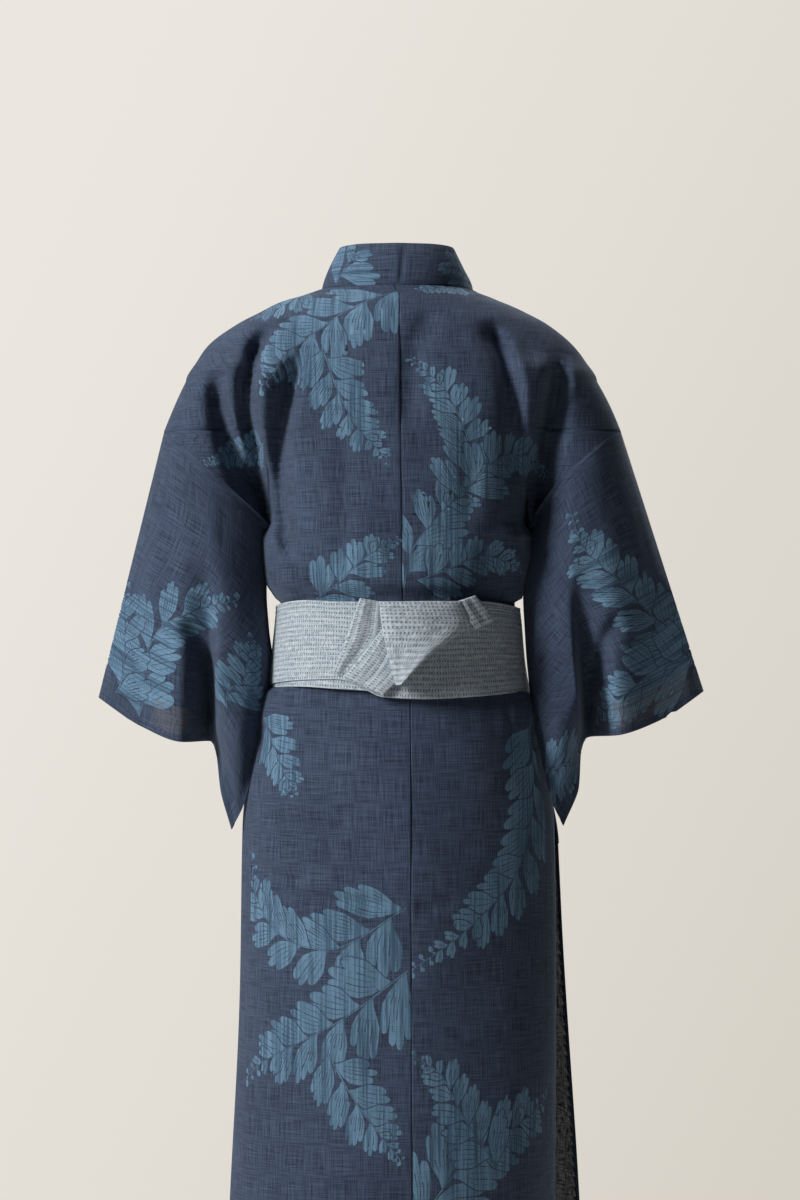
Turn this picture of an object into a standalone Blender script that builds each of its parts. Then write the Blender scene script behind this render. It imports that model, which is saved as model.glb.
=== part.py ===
"""Men's cotton yukata as worn, with its belt: the cut pieces as thin closed walls round an empty figure.

Heights are metres above the floor that the wearer stands on, x runs to the wearer's left and y to the
wearer's back. The frame's origin is on the shoulder line, where the wearer carries the garment.
"""

import bmesh
import bpy
import numpy as np

# Driving sizes, in metres
HOLD_HEIGHT = 1.45  # shoulder line above the floor
WALL = 0.0012  # cotton, with its seam allowances
BAND_WALL = 0.0024  # collar, folded double
OBI_WALL = 0.0018
SEAM_GAP = 0.0004
ARMHOLE_GAP = 0.0020
BAND_RISE = 0.0008  # the collar's thickness holds it a little further off than the panel it is sewn to
NECK_GAP, NECK_INSET = 0.0025, 0.97  # the collar stands just inside the neck seam
NECK_RISE = 0.010  # how far its free edge has risen from the chest where it reaches the shoulder
LAP = 0.0052  # from the right front's wall to the left front's, which lies over it
OBI_TOP, OBI_BOTTOM = 1.131, 1.030
OBI_SAG = 0.012  # a man's belt sits lower in front
INNER_TURN, OUTER_TURN = 0.0092, 0.0118  # outer faces of the belt's two turns, from the body's wall
INNER_TURN_DROP = 0.004
UNDERARM = 1.20  # height where the sleeve seam ends at the side seam
SLEEVE_SEAM_TOP = 1.3148  # height where the sleeve seam crosses the shoulder
OVERLAP_TOP = 1.18  # the overlap's pointed top, on the collar seam
COLLAR_END = 0.86  # height where the collar ends on the front edge
SIDE_SEAM = 0.93  # place of the side seam, as a share of the half width, on the back
LAP_START, LAP_FULL = 0.45, 0.93  # shares of the half width over which the left panel rises over the right
LAP_LEVEL, LAP_GONE = 1.39, 1.47  # heights between which that rise dies out towards the neck
CLOSE_X = (0.095, 0.215)  # stretch of the chest whose deep folds need close columns
CLOSE_GAIN = 2.0
FRONT_TURN = 0.76  # share of the half width where the front's columns change spacing

BODY_COLOUR = (0.035, 0.052, 0.088, 1)
OBI_COLOUR = (0.42, 0.47, 0.52, 1)

# Torso and skirt sections. left and right are half widths, back and front are depths,
# seam is how far the centre back seam has swung to the wearer's left.
TORSO = {
    "height": (
        0.07, 0.30, 0.47, 0.70, 0.88, 0.96, 0.995, 1.03, 1.08, 1.13, 1.15, 1.20,
        1.26, 1.30, 1.34, 1.37, 1.3918, 1.4105, 1.4325, 1.4468, 1.46, 1.4745,
    ),
    "left": (
        0.2005, 0.192, 0.1845, 0.1735, 0.1705, 0.161, 0.151, 0.136, 0.130, 0.1265, 0.1365, 0.1405,
        0.1450, 0.160, 0.196, 0.2325, 0.2205, 0.208, 0.180, 0.154, 0.129, 0.086,
    ),
    "right": (
        0.175, 0.171, 0.169, 0.170, 0.168, 0.157, 0.1460, 0.1290, 0.1207, 0.1182, 0.1208, 0.132,
        0.1375, 0.152, 0.186, 0.2146, 0.202, 0.1875, 0.1605, 0.134, 0.106, 0.084,
    ),
    "back": (
        0.150, 0.140, 0.134, 0.127, 0.125, 0.121, 0.117, 0.112, 0.107, 0.107, 0.115, 0.118,
        0.120, 0.120, 0.119, 0.116, 0.112, 0.106, 0.099, 0.092, 0.085, 0.0785,
    ),
    "front": (
        0.165, 0.150, 0.140, 0.130, 0.122, 0.117, 0.113, 0.108, 0.104, 0.104, 0.110, 0.114,
        0.119, 0.121, 0.121, 0.117, 0.112, 0.104, 0.092, 0.082, 0.070, 0.058,
    ),
    "square": (
        2.3, 2.3, 2.3, 2.3, 2.35, 2.35, 2.35, 2.35, 2.3, 2.3, 2.3, 2.4,
        2.5, 2.4, 2.3, 2.2, 2.2, 2.1, 2.05, 2.0, 2.0, 2.0,
    ),
    "seam": (
        -0.0135, -0.012, -0.011, -0.0102, -0.0098, -0.0095, -0.0093, -0.0088, -0.005, -0.0012, -0.0006, 0.0,
        0.001, 0.0015, 0.002, 0.0023, 0.0025, 0.0028, 0.003, 0.003, 0.003, 0.003,
    ),
}
# Upper arm beside the chest, from the outer fold to where it meets the torso.
ARM = {
    "height": (1.20, 1.25, 1.30, 1.34, 1.37, 1.40),
    "outer left": (0.287, 0.276, 0.262, 0.2465, 0.2325, 0.215),
    "outer right": (0.279, 0.2635, 0.2466, 0.2305, 0.2146, 0.196),
    "inner": (0.142, 0.132, 0.112, 0.090, 0.070, 0.060),
    "back": (0.058, 0.064, 0.072, 0.080, 0.084, 0.084),
    "front": (0.070, 0.076, 0.082, 0.086, 0.086, 0.084),
    "soft": (0.006, 0.014, 0.026, 0.040, 0.050, 0.050),
}
# Sleeve seam on the body, from the underarm to the shoulder, as seen from the back.
ARMHOLE = {
    "height": (1.2103, 1.2235, 1.262, 1.290, 1.3053, 1.3148),
    "left": (0.150, 0.163, 0.201, 0.2265, 0.243, 0.2575),
    "right": (0.143, 0.150, 0.1765, 0.206, 0.2235, 0.2415),
}
# The left front's lines: collar seam, the collar's free edge, and the seam between front and overlap.
FRONT_LINES = {
    "height": (0.07, 0.47, 0.86, 0.95, 1.03, 1.13, 1.18, 1.24, 1.30, 1.365, 1.415, 1.447, 1.4745),
    "collar": (-0.146, -0.139, -0.136, -0.121, -0.098, -0.090, -0.078, -0.043, -0.010, 0.025, 0.052, 0.0705, 0.082),
    "edge": (-0.170, -0.165, -0.1655, -0.152, -0.126, -0.119, -0.1155, -0.088, -0.055, -0.018, 0.012, 0.036, 0.060),
    "overlap": (-0.060, -0.064, -0.070, -0.072, -0.074, -0.075, -0.076, -0.08, -0.08, -0.08, -0.08, -0.08, -0.08),
}
# How far the left overlap's free edge stands off the right hip.
EDGE_FLARE = {"height": (0.07, 0.30, 0.47, 0.80, 0.95, 1.20), "out": (0.042, 0.036, 0.028, 0.006, 0.0, 0.0)}
# The collar's free edge round the neck, from the front of the shoulder (0) to the centre back (1).
NECK = {
    "turn": (0.0, 0.2, 0.45, 0.75, 1.0),
    "x": (0.060, 0.067, 0.062, 0.037, 0.0),
    "y": (-0.042, -0.012, 0.022, 0.051, 0.059),
    "height": (1.4845, 1.498, 1.511, 1.519, 1.521),
}

# Sleeve stations, as seen from the back: t runs from the shoulder fold (0) to the seam under the arm (1),
# and a sleeve's q runs from its seam on the body (0) to the cuff (1).
SEAM_SHARE = {
    "height": (1.2103, 1.2235, 1.2515, 1.2695, 1.2895, 1.3085, 1.3148),
    "t": (1.0, 0.87, 0.65, 0.50, 0.35, 0.15, 0.0),
}
SLEEVE_T = (0.0, 0.15, 0.35, 0.50, 0.65, 0.85, 1.0)
CUFF = {
    "left x": (0.334, 0.288, 0.242, 0.212, 0.203, 0.198, 0.186),
    "left height": (1.023, 0.993, 0.976, 0.974, 0.958, 0.922, 0.880),
    "right x": (0.332, 0.288, 0.240, 0.205, 0.196, 0.193, 0.176),
    "right height": (1.030, 1.001, 0.984, 0.978, 0.960, 0.925, 0.884),
}
CUFF_OPEN_TO = 0.50  # the cuff is open from the fold to this t, and sewn shut from there down
SLEEVE_Q = (0.0, 0.25, 0.5, 0.75, 1.0)
# Depth of the sleeve's two layers at SLEEVE_T, a row for each later value of SLEEVE_Q.
SLEEVE_BACK = (
    (0.000, 0.036, 0.060, 0.064, 0.060, 0.046, 0.024),
    (0.000, 0.034, 0.058, 0.050, 0.060, 0.056, 0.040),
    (0.000, 0.028, 0.052, 0.016, 0.062, 0.064, 0.052),
    (0.000, 0.020, 0.044, -0.022, 0.004, 0.024, 0.034),
)
SLEEVE_FRONT = (
    (0.000, -0.044, -0.072, -0.080, -0.074, -0.040, 0.018),
    (0.000, -0.044, -0.076, -0.082, -0.064, -0.012, 0.034),
    (0.000, -0.040, -0.072, -0.076, -0.046, 0.010, 0.046),
    (0.000, -0.032, -0.056, -0.028, -0.002, 0.018, 0.028),
)
# How far the hanging seam is drawn in towards the body, over the sleeve's q.
SLEEVE_PULL = {
    "q": (0.0, 0.22, 0.34, 0.47, 0.60, 0.78, 0.92, 1.0),
    "left": (0.0, 0.006, 0.0120, 0.0170, 0.0160, 0.0135, 0.010, 0.0),
    "right": (0.0, 0.0155, 0.0175, 0.0185, 0.0165, 0.0145, 0.010, 0.0),
}
SLEEVE_ROWS = (0, 0.06, 0.14, 0.22, 0.31, 0.40, 0.50, 0.60, 0.70, 0.79, 0.87, 0.94, 1.0)

# The largest folds. Each runs through three points (x, height), x outwards from the centre line, with its
# half width and its depth, which is negative in a valley.
FOLDS = (
    # side, face, start, middle, end, width, depth
    ("left", "back", (0.131, 1.427), (0.160, 1.345), (0.150, 1.245), 0.0080, -0.020),
    ("left", "back", (0.106, 1.404), (0.131, 1.300), (0.119, 1.164), 0.0085, -0.015),
    ("left", "back", (0.201, 1.378), (0.188, 1.310), (0.162, 1.245), 0.0090, -0.012),
    ("left", "back", (0.064, 1.300), (0.064, 1.240), (0.066, 1.160), 0.0080, -0.003),
    ("right", "back", (0.040, 1.440), (0.010, 1.390), (0.008, 1.290), 0.0120, -0.006),
    ("right", "back", (0.088, 1.430), (0.112, 1.370), (0.118, 1.250), 0.0090, -0.008),
    ("right", "back", (0.100, 1.435), (0.130, 1.350), (0.134, 1.200), 0.0080, 0.007),
    ("right", "back", (0.171, 1.390), (0.160, 1.325), (0.144, 1.215), 0.0085, -0.018),
    ("left", "front", (0.110, 1.400), (0.128, 1.320), (0.132, 1.220), 0.0160, -0.012),
    ("right", "front", (0.112, 1.400), (0.128, 1.320), (0.130, 1.220), 0.0160, -0.012),
)

# Corners of the knot's pieces on the back, (x, height), and how far each piece's outer face stands off the
# belt and how thick it is. A piece is a patch between its left edge and its right edge.
KNOT = {
    "obi_knot_loop": {
        "left": ((0.0451, 1.1322), (0.0600, 1.0930), (0.0737, 1.0519)),
        "right": ((0.0198, 1.1267), (0.0400, 1.0900), (0.0616, 1.0486)),
        "stand": 0.0060, "thick": 0.0050,
    },
    "obi_knot_band": {
        "left": ((0.0300, 1.0900), (0.0480, 1.0660), (0.0600, 1.0455)),
        "right": ((-0.0040, 1.0720), (0.0040, 1.0450), (0.0170, 1.0277)),
        "stand": 0.0066, "thick": 0.0056,
    },
    "obi_knot_fold": {
        "left": ((0.0264, 1.1289), (0.0220, 1.0992), (0.0044, 1.0398)),
        "right": ((-0.0638, 1.1289), (-0.0748, 1.1058), (-0.0040, 1.0420)),
        "stand": 0.0165, "thick": 0.0090,
    },
    "obi_knot_tail": {
        "left": ((-0.0560, 1.1300), (-0.0600, 1.1180), (-0.0640, 1.1080)),
        "right": ((-0.0792, 1.1344), (-0.0950, 1.1190), (-0.0913, 1.0981)),
        "stand": 0.0050, "thick": 0.0040,
    },
}
KNOT_ROWS, KNOT_COLUMNS = 8, 6

# Rows of the panels, as heights
SKIRT_ROWS = (
    0.07, 0.18, 0.31, 0.45, 0.60, 0.75, 0.86, 0.90, 0.935,
    0.965, 1.00, 1.03, 1.06, 1.095, 1.13, 1.145, 1.16, 1.18,
)
ARMHOLE_ROWS = tuple(np.round(np.linspace(1.2103, SLEEVE_SEAM_TOP, 11), 4))
SHOULDER_ROWS = (1.332, 1.350, 1.368, 1.385, 1.401, 1.4165, 1.431, 1.444, 1.4555, 1.4655, 1.4715, 1.4745)
CHEST_ROWS = (UNDERARM, *ARMHOLE_ROWS, *SHOULDER_ROWS)
BACK_COLUMNS, FRONT_COLUMNS, OVERLAP_COLUMNS, COLLAR_COLUMNS = 18, 13, 3, 2
SIDE_COLUMNS = 5  # the share of FRONT_COLUMNS between the side seam and FRONT_TURN
NECK_STEPS = 12
OBI_COLUMNS = 48
DENSE = 241  # points on a quarter section before it is divided into columns


def smooth(xs, ys, x):
    """Cubic curve through a table's values that never overshoots them."""
    xs, ys = np.asarray(xs, float), np.asarray(ys, float)
    x = np.clip(x, xs[0], xs[-1])
    step = np.diff(xs)
    slope = np.diff(ys) / step
    lean = np.zeros_like(ys)
    same_way = slope[:-1] * slope[1:] > 0
    weight = (step[1:] + 2 * step[:-1]) / (3 * (step[1:] + step[:-1]))
    with np.errstate(divide="ignore", invalid="ignore"):
        middle = 1 / (weight / slope[:-1] + (1 - weight) / slope[1:])
    lean[1:-1] = np.where(same_way, np.nan_to_num(middle), 0)
    lean[0], lean[-1] = slope[0], slope[-1]
    i = np.clip(np.searchsorted(xs, x, side="right") - 1, 0, len(xs) - 2)
    u = (x - xs[i]) / step[i]
    return (
        ys[i] * (1 + 2 * u) * (1 - u) ** 2
        + ys[i + 1] * u * u * (3 - 2 * u)
        + step[i] * u * (1 - u) * (lean[i] * (1 - u) - lean[i + 1] * u)
    )


def at(table, column, height):
    return float(smooth(table["height"], table[column], height))


def ease(x):
    x = np.clip(x, 0, 1)
    return x * x * (3 - 2 * x)


def quarter_section(height, side, face):
    """(x, y) of one quarter of the section, from the centre line out to the side, x counted outwards."""
    turn = np.linspace(0, np.pi / 2, DENSE)
    half = at(TORSO, side, height)
    depth = at(TORSO, face, height)
    power = at(TORSO, "square", height)
    armed = UNDERARM < height < ARM["height"][-1]
    reach = max(half, at(ARM, "outer " + side, height)) if armed else half
    x = reach * np.sin(turn) ** 0.9
    inside = np.clip(1 - (x / half) ** power, 0, None) ** (1 / power)
    y = np.where(x <= half, depth * inside, half - x)
    if armed:
        inner = at(ARM, "inner", height)
        middle, radius = (reach + inner) / 2, (reach - inner) / 2
        off = np.abs(x - middle)
        round_arm = at(ARM, face, height) * np.sqrt(np.clip(1 - (off / radius) ** 2, 0, None))
        arm = np.where(off < radius, round_arm, radius - off)
        soft = at(ARM, "soft", height) * np.clip((reach - x) / 0.03, 0, 1) + 1e-6
        near = np.clip(soft - np.abs(y - arm), 0, None) / soft
        y = np.maximum(y, arm) + near * near * soft / 4
    y = np.clip(y, 0, None)
    return x, y if face == "back" else -y


def fold_shift(x, y, height, side, face):
    """How far the folds move the cloth along y, at points of one quarter section. They die out at the side."""
    moved = np.zeros(len(x))
    along = np.linspace(0, 1, 33)
    for row_side, row_face, start, middle, end, width, depth in FOLDS:
        if (row_side, row_face) != (side, face):
            continue
        path = np.array([start, middle, end])
        line_x = smooth((0, 0.5, 1), path[:, 0], along)
        line_height = smooth((0, 0.5, 1), path[:, 1], along)
        gap = np.hypot(x[:, None] - line_x, height - line_height)
        place = along[gap.argmin(1)]
        fade = ease(place / 0.3) * ease((1 - place) / 0.3)
        moved += depth * fade * np.exp(-((gap.min(1) / width) ** 2))
    sign = 1 if face == "back" else -1
    return sign * moved * ease((np.abs(y) - 0.012) / 0.03)


def quarter_line(height, side, face, start, end):
    """Points of one quarter between two x values in that order: columns x, y, fold shift and closeness."""
    x, y = quarter_section(height, side, face)
    low, high = min(start, end), min(max(start, end), x[-1])
    inside = (x > low + 1e-6) & (x < high - 1e-6)
    xs = np.concatenate([[low], x[inside], [high]])
    ys = np.interp(xs, x, y)
    close = ease((xs - CLOSE_X[0]) / 0.01) * ease((CLOSE_X[1] - xs) / 0.02) * ease((height - 1.10) / 0.06)
    sign = 1 if side == "left" else -1
    line = np.column_stack([sign * xs, ys, fold_shift(xs, ys, height, side, face), 1 + CLOSE_GAIN * close])
    return line if start < end else line[::-1]


def other(side):
    return "right" if side == "left" else "left"


def row_line(height, side, start, stop):
    """A dense line round one panel's own way, back to front, from start to stop.

    start and stop are (face, x), x outwards on the panel's own side, and negative past the centre line.
    """
    (start_face, start_x), (stop_face, stop_x) = start, stop
    quarters = []
    if start_face == "back":
        if start_x < 0:
            quarters.append(quarter_line(height, other(side), "back", -start_x, 0))
        end = stop_x if stop_face == "back" else 9.0
        quarters.append(quarter_line(height, side, "back", max(start_x, 0), end))
    if stop_face == "front":
        begin = start_x if start_face == "front" else 9.0
        if begin > 0:
            quarters.append(quarter_line(height, side, "front", begin, max(stop_x, 0)))
        if stop_x < 0:
            quarters.append(quarter_line(height, other(side), "front", max(-begin, 0), -stop_x))
    line = np.vstack([quarters[0]] + [quarter[1:] for quarter in quarters[1:]])
    tangent = np.gradient(line[:, :2], axis=0)
    normal = np.stack([-tangent[:, 1], tangent[:, 0]], 1) * (1 if side == "left" else -1)
    normal /= np.maximum(np.linalg.norm(normal, axis=1, keepdims=True), 1e-9)
    return np.column_stack([line, normal])


def spread(line, count):
    """count + 1 points along a dense line, closer together where the line says so."""
    step = np.linalg.norm(np.diff(line[:, :2], axis=0), axis=1) * (line[1:, 3] + line[:-1, 3]) / 2
    length = np.concatenate([[0], np.cumsum(step)])
    where = np.linspace(0, length[-1], count + 1)
    return np.stack([np.interp(where, length, line[:, k]) for k in range(line.shape[1])], 1)


def placed(line, height, out):
    """3-D points of a line at one height, moved outwards by out, with their folds."""
    x = line[:, 0] + line[:, 4] * out
    y = line[:, 1] + line[:, 5] * out + line[:, 2]
    return np.column_stack([x, y, np.full(len(line), height)])


def lift(points, height, side):
    """How far a panel's points stand off the body's own wall: only the left panel rises, to lie over the right."""
    if side == "right":
        return np.zeros(len(points))
    share = np.where(points[:, 1] > 0, points[:, 0] / at(TORSO, "left", height), 1)
    rise = ease((share - LAP_START) / (LAP_FULL - LAP_START))
    return LAP * rise * (1 - ease((height - LAP_LEVEL) / (LAP_GONE - LAP_LEVEL)))


def panel_row(height, side):
    """One row of a body panel: back points from the centre seam, then front points to its front edge."""
    centre = at(TORSO, "seam", height) * (1 if side == "left" else -1) + SEAM_GAP / 2
    line_name = "overlap" if height <= OVERLAP_TOP else "collar"
    front_edge = at(FRONT_LINES, line_name, height) + SEAM_GAP
    if height <= UNDERARM:
        seam_share = SIDE_SEAM + (1 - SIDE_SEAM) * ease((height - OBI_TOP) / (UNDERARM - OBI_TOP))
        split = ("back", seam_share * at(TORSO, side, height))
    elif height < SLEEVE_SEAM_TOP - 1e-6:
        split = ("back", at(ARMHOLE, side, height))
    else:
        split = ("back", 9.0)
    back = spread(row_line(height, side, ("back", centre), split), BACK_COLUMNS)
    if UNDERARM < height < SLEEVE_SEAM_TOP - 1e-6:
        split = ("front", at(ARMHOLE, side, height))
    elif height >= SLEEVE_SEAM_TOP - 1e-6:
        split = ("front", 9.0)
    reach = quarter_section(height, side, "front")[0][-1]
    turn_x = FRONT_TURN * at(TORSO, side, height)
    turn = ("front", np.clip(turn_x, *(front_edge + np.array([0.35, 0.6]) * (reach - front_edge))))
    outer = row_line(height, side, split, turn)
    outer[:, 3] = 1
    inner = spread(row_line(height, side, turn, ("front", front_edge)), FRONT_COLUMNS - SIDE_COLUMNS)
    both = np.vstack([back, spread(outer, SIDE_COLUMNS), inner[1:]])
    return placed(both, height, lift(both, height, side))


def sheet(name, points, faces, thickness, colour, roughness=0.9):
    """A named wall: an open sheet whose faces look outwards, made solid inwards."""
    mesh = bpy.data.meshes.new(name)
    lowered = np.asarray(points, float) - (0, 0, HOLD_HEIGHT)
    mesh.from_pydata([tuple(point) for point in lowered], [], faces)
    made = bpy.data.objects.new(name, mesh)
    made.data.materials.append(material(colour, roughness))
    garment.objects.link(made)
    tidy(mesh)
    wall = made.modifiers.new("wall", "SOLIDIFY")
    wall.thickness = thickness
    wall.offset = -1
    return made


def tidy(mesh):
    """Merges points that meet, drops unused ones and shades the mesh smooth."""
    shape = bmesh.new()
    shape.from_mesh(mesh)
    bmesh.ops.remove_doubles(shape, verts=shape.verts, dist=1e-5)
    loose = [vert for vert in shape.verts if not vert.link_faces]
    bmesh.ops.delete(shape, geom=loose, context="VERTS")
    shape.to_mesh(mesh)
    shape.free()
    mesh.shade_smooth()


def material(colour, roughness):
    name = "obi_cotton" if colour == OBI_COLOUR else "yukata_cotton"
    made = bpy.data.materials.get(name)
    if made is None:
        made = bpy.data.materials.new(name)
        made.use_nodes = True
        shader = made.node_tree.nodes["Principled BSDF"]
        shader.inputs["Base Color"].default_value = colour
        shader.inputs["Roughness"].default_value = roughness
        shader.inputs["Metallic"].default_value = 0
    return made


def grid_faces(rows, columns, flip, leave_out=lambda r, c: False, closed=False):
    """Quads over a grid of points. flip turns their faces round, and closed joins the last column to the first."""
    faces = []
    for r in range(rows - 1):
        for c in range(columns if closed else columns - 1):
            if leave_out(r, c):
                continue
            near, far = r * columns + c, r * columns + (c + 1) % columns
            face = (near, far, far + columns, near + columns)
            faces.append(face[::-1] if flip else face)
    return faces


def body_panel(side):
    """Back and front of one side in one piece over the shoulder, open at the armhole."""
    rows = [panel_row(height, side) for height in (*SKIRT_ROWS, *CHEST_ROWS)]
    columns = BACK_COLUMNS + FRONT_COLUMNS + 2
    faces = grid_faces(len(rows), columns, side == "left", lambda r, c: c == BACK_COLUMNS)
    return sheet("body_" + side, np.vstack(rows), faces, WALL, BODY_COLOUR)


def overlap_row(height, side, start, stop, count, more=0.0):
    """Points on the front between two x values. The left side's flare away from the hip, and rise by more."""
    line = spread(row_line(height, side, ("front", start), ("front", stop)), count)
    out = lift(line, height, side) * (1 + more / LAP)
    if side == "left":
        edge = at(FRONT_LINES, "edge", height)
        seam = at(FRONT_LINES, "overlap", height)
        share = (line[:, 0] - seam) / (edge - seam)
        out = out + at(EDGE_FLARE, "out", height) * ease((share - 0.25) / 0.75) * np.clip(share, 0, 1)
    return placed(line, height, out)


def overlap(side):
    """The long narrow panel down a front's edge, with the collar sewn to its slanting top."""
    rows = []
    for height in SKIRT_ROWS:
        seam = at(FRONT_LINES, "overlap", height)
        collar = at(FRONT_LINES, "collar", height)
        edge = at(FRONT_LINES, "edge", height)
        inner = overlap_row(height, side, seam, collar + SEAM_GAP, OVERLAP_COLUMNS)
        outer = overlap_row(height, side, collar + SEAM_GAP, edge, COLLAR_COLUMNS)
        rows.append(np.vstack([inner, outer[1:]]))
    top = SKIRT_ROWS.index(COLLAR_END)
    faces = grid_faces(
        len(rows), len(rows[0]), side == "left", lambda r, c: r >= top and c >= OVERLAP_COLUMNS
    )
    return sheet("okumi_" + side, np.vstack(rows), faces, WALL, BODY_COLOUR)


def collar_rows(side):
    """Rows across one half of the collar, from its lower end up the front and round to the centre back."""
    rows = []
    share = np.linspace(0, 1, COLLAR_COLUMNS + 1)
    heights = [height for height in (*SKIRT_ROWS, *CHEST_ROWS) if height >= COLLAR_END]
    for height in heights:
        low = max(height, COLLAR_END + SEAM_GAP)
        collar = at(FRONT_LINES, "collar", height) - SEAM_GAP - NECK_GAP * ease((height - 1.44) / 0.03)
        edge = at(FRONT_LINES, "edge", height)
        row = overlap_row(low, side, collar, edge, COLLAR_COLUMNS, BAND_RISE)
        row[:, 2] += NECK_RISE * ease((height - 1.40) / 0.0745) * share
        rows.append(row)
    top = CHEST_ROWS[-1]
    seam_x = at(FRONT_LINES, "collar", top) - SEAM_GAP
    ring = row_line(top, side, ("back", 0), ("front", seam_x))[::-1]
    ring = spread(ring, NECK_STEPS)
    sign = 1 if side == "left" else -1
    for step, seam in enumerate(ring[1:], 1):
        turn = step / NECK_STEPS
        low = np.array([seam[0] * NECK_INSET, seam[1] * NECK_INSET, top + SEAM_GAP])
        high = np.array([smooth(NECK["turn"], NECK[key], turn) for key in ("x", "y", "height")])
        high[0] *= sign
        bow = 0.004 * np.sin(np.pi * share[:, None]) * np.array([high[0], high[1], 0]) / 0.06
        rows.append(low + (high - low) * share[:, None] + bow)
    return rows


def collar():
    """One band from the left front's lower end, round the back of the neck, to the right front's."""
    left, right = collar_rows("left"), collar_rows("right")
    rows = left + right[-2::-1]
    faces = grid_faces(len(rows), COLLAR_COLUMNS + 1, True)
    return sheet("collar", np.vstack(rows), faces, BAND_WALL, BODY_COLOUR)


def sleeve_point(side, layer, t, q, head):
    """A point of the sleeve. head is the point on the body's armhole that this t starts from."""
    cuff_x = smooth(SLEEVE_T, CUFF[side + " x"], t) * (1 if side == "left" else -1)
    cuff_height = smooth(SLEEVE_T, CUFF[side + " height"], t)
    depths = [smooth(SLEEVE_T, row, t) for row in (SLEEVE_BACK if layer == "back" else SLEEVE_FRONT)]
    x = head[0] + (cuff_x - head[0]) * q
    height = head[2] + (cuff_height - head[2]) * q
    pull = smooth(SLEEVE_PULL["q"], SLEEVE_PULL[side], q) * ease((t - 0.6) / 0.4)
    x -= pull * (1 if side == "left" else -1)
    return np.array([x, smooth(SLEEVE_Q, (head[1], *depths), q), height])


def armhole(side, height):
    """The body's back and front points on the armhole at one height, moved out of the body by the seam gap."""
    row = panel_row(height, side)
    away = np.array([ARMHOLE_GAP if side == "left" else -ARMHOLE_GAP, 0, -SEAM_GAP])
    return row[BACK_COLUMNS] + away, row[BACK_COLUMNS + 1] + away


def sleeve(side):
    """A folded rectangle sewn to the armhole: open at the cuff, sewn shut below it and along the bottom."""
    heads = [armhole(side, height) for height in ARMHOLE_ROWS[::-1]]
    ts = [at(SEAM_SHARE, "t", height) for height in ARMHOLE_ROWS[::-1]]
    count = len(ts)
    rows = []
    for q in SLEEVE_ROWS:
        back = [sleeve_point(side, "back", t, q, head[0]) for t, head in zip(ts, heads)]
        front = [sleeve_point(side, "front", t, q, head[1]) for t, head in zip(ts, heads)]
        rows.append(np.array(back + front[:0:-1]))
    columns = len(rows[0])
    flip = side == "right"
    faces = grid_faces(len(rows), columns, flip, closed=True)
    last = (len(rows) - 1) * columns
    closed_from = int(np.argmin(np.abs(np.array(ts) - CUFF_OPEN_TO)))
    for k in range(closed_from, count - 1):
        ends = (last + k, last + k + 1, last + columns - k - 1, last + columns - k)
        faces.append(ends if not flip else ends[::-1])
    return sheet("sleeve_" + side, np.vstack(rows), faces, WALL, BODY_COLOUR)


def belt_ring(height, out):
    """Points right round the waist at one height, out from the body's wall."""
    left = row_line(height, "left", ("back", 0), ("front", 0))
    right = row_line(height, "right", ("back", 0), ("front", 0))[::-1]
    line = np.vstack([left, right[1:]])
    line[:, 3] = 1
    ring = spread(line, OBI_COLUMNS)[:-1]
    points = placed(ring, height, out)
    points[:, 1] -= ring[:, 2]
    return points


def belt_turn(name, out, drop):
    """One turn of the belt, lower in front."""
    rows = []
    for share in np.linspace(0, 1, 4):
        height = OBI_BOTTOM + (OBI_TOP - OBI_BOTTOM) * share - drop
        ring, lower = belt_ring(height, out), belt_ring(height - OBI_SAG, out)
        sag = ease((0.09 - ring[:, 1:2]) / 0.18)
        rows.append(ring + (lower - ring) * sag)
    faces = grid_faces(len(rows), OBI_COLUMNS, True, closed=True)
    return sheet(name, np.vstack(rows), faces, OBI_WALL, OBI_COLOUR)


def belt_back(x, height):
    """Depth of the outer turn's face on the back."""
    side = "left" if x >= 0 else "right"
    line = row_line(height, side, ("back", 0), ("back", 9.0))
    points = placed(line, height, OUTER_TURN)
    points[:, 1] -= line[:, 2]
    order = np.argsort(points[:, 0])
    return np.interp(x, points[order, 0], points[order, 1])


def knot_piece(name, left, right, stand, thick):
    """A folded end of the belt: a patch over the belt's face between two edges, rounded off towards its rim."""
    rows = []
    for v in np.linspace(0, 1, KNOT_ROWS):
        start = [smooth((0, 0.5, 1), np.array(left)[:, k], v) for k in (0, 1)]
        end = [smooth((0, 0.5, 1), np.array(right)[:, k], v) for k in (0, 1)]
        row = []
        for u in np.linspace(0, 1, KNOT_COLUMNS):
            x, height = np.array(start) * (1 - u) + np.array(end) * u
            crown = stand - 0.0012 * (2 * u - 1) ** 2
            row.append((x, belt_back(x, min(height, OBI_TOP)) + crown, height))
        rows.append(row)
    faces = grid_faces(KNOT_ROWS, KNOT_COLUMNS, False)
    return sheet(name, np.array(rows).reshape(-1, 3), faces, thick, OBI_COLOUR)


for old in list(bpy.data.objects):
    bpy.data.objects.remove(old, do_unlink=True)
garment = bpy.data.collections.new("yukata_robe")
bpy.context.scene.collection.children.link(garment)

for side_name in ("left", "right"):
    body_panel(side_name)
    overlap(side_name)
    sleeve(side_name)
collar()
belt_turn("obi_inner_turn", INNER_TURN, INNER_TURN_DROP)
belt_turn("obi_wrap", OUTER_TURN, 0)
for piece_name, piece in KNOT.items():
    knot_piece(piece_name, **piece)
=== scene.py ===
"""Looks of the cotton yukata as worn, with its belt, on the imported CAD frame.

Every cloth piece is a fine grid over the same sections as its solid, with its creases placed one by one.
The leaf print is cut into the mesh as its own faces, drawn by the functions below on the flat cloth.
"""

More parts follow.
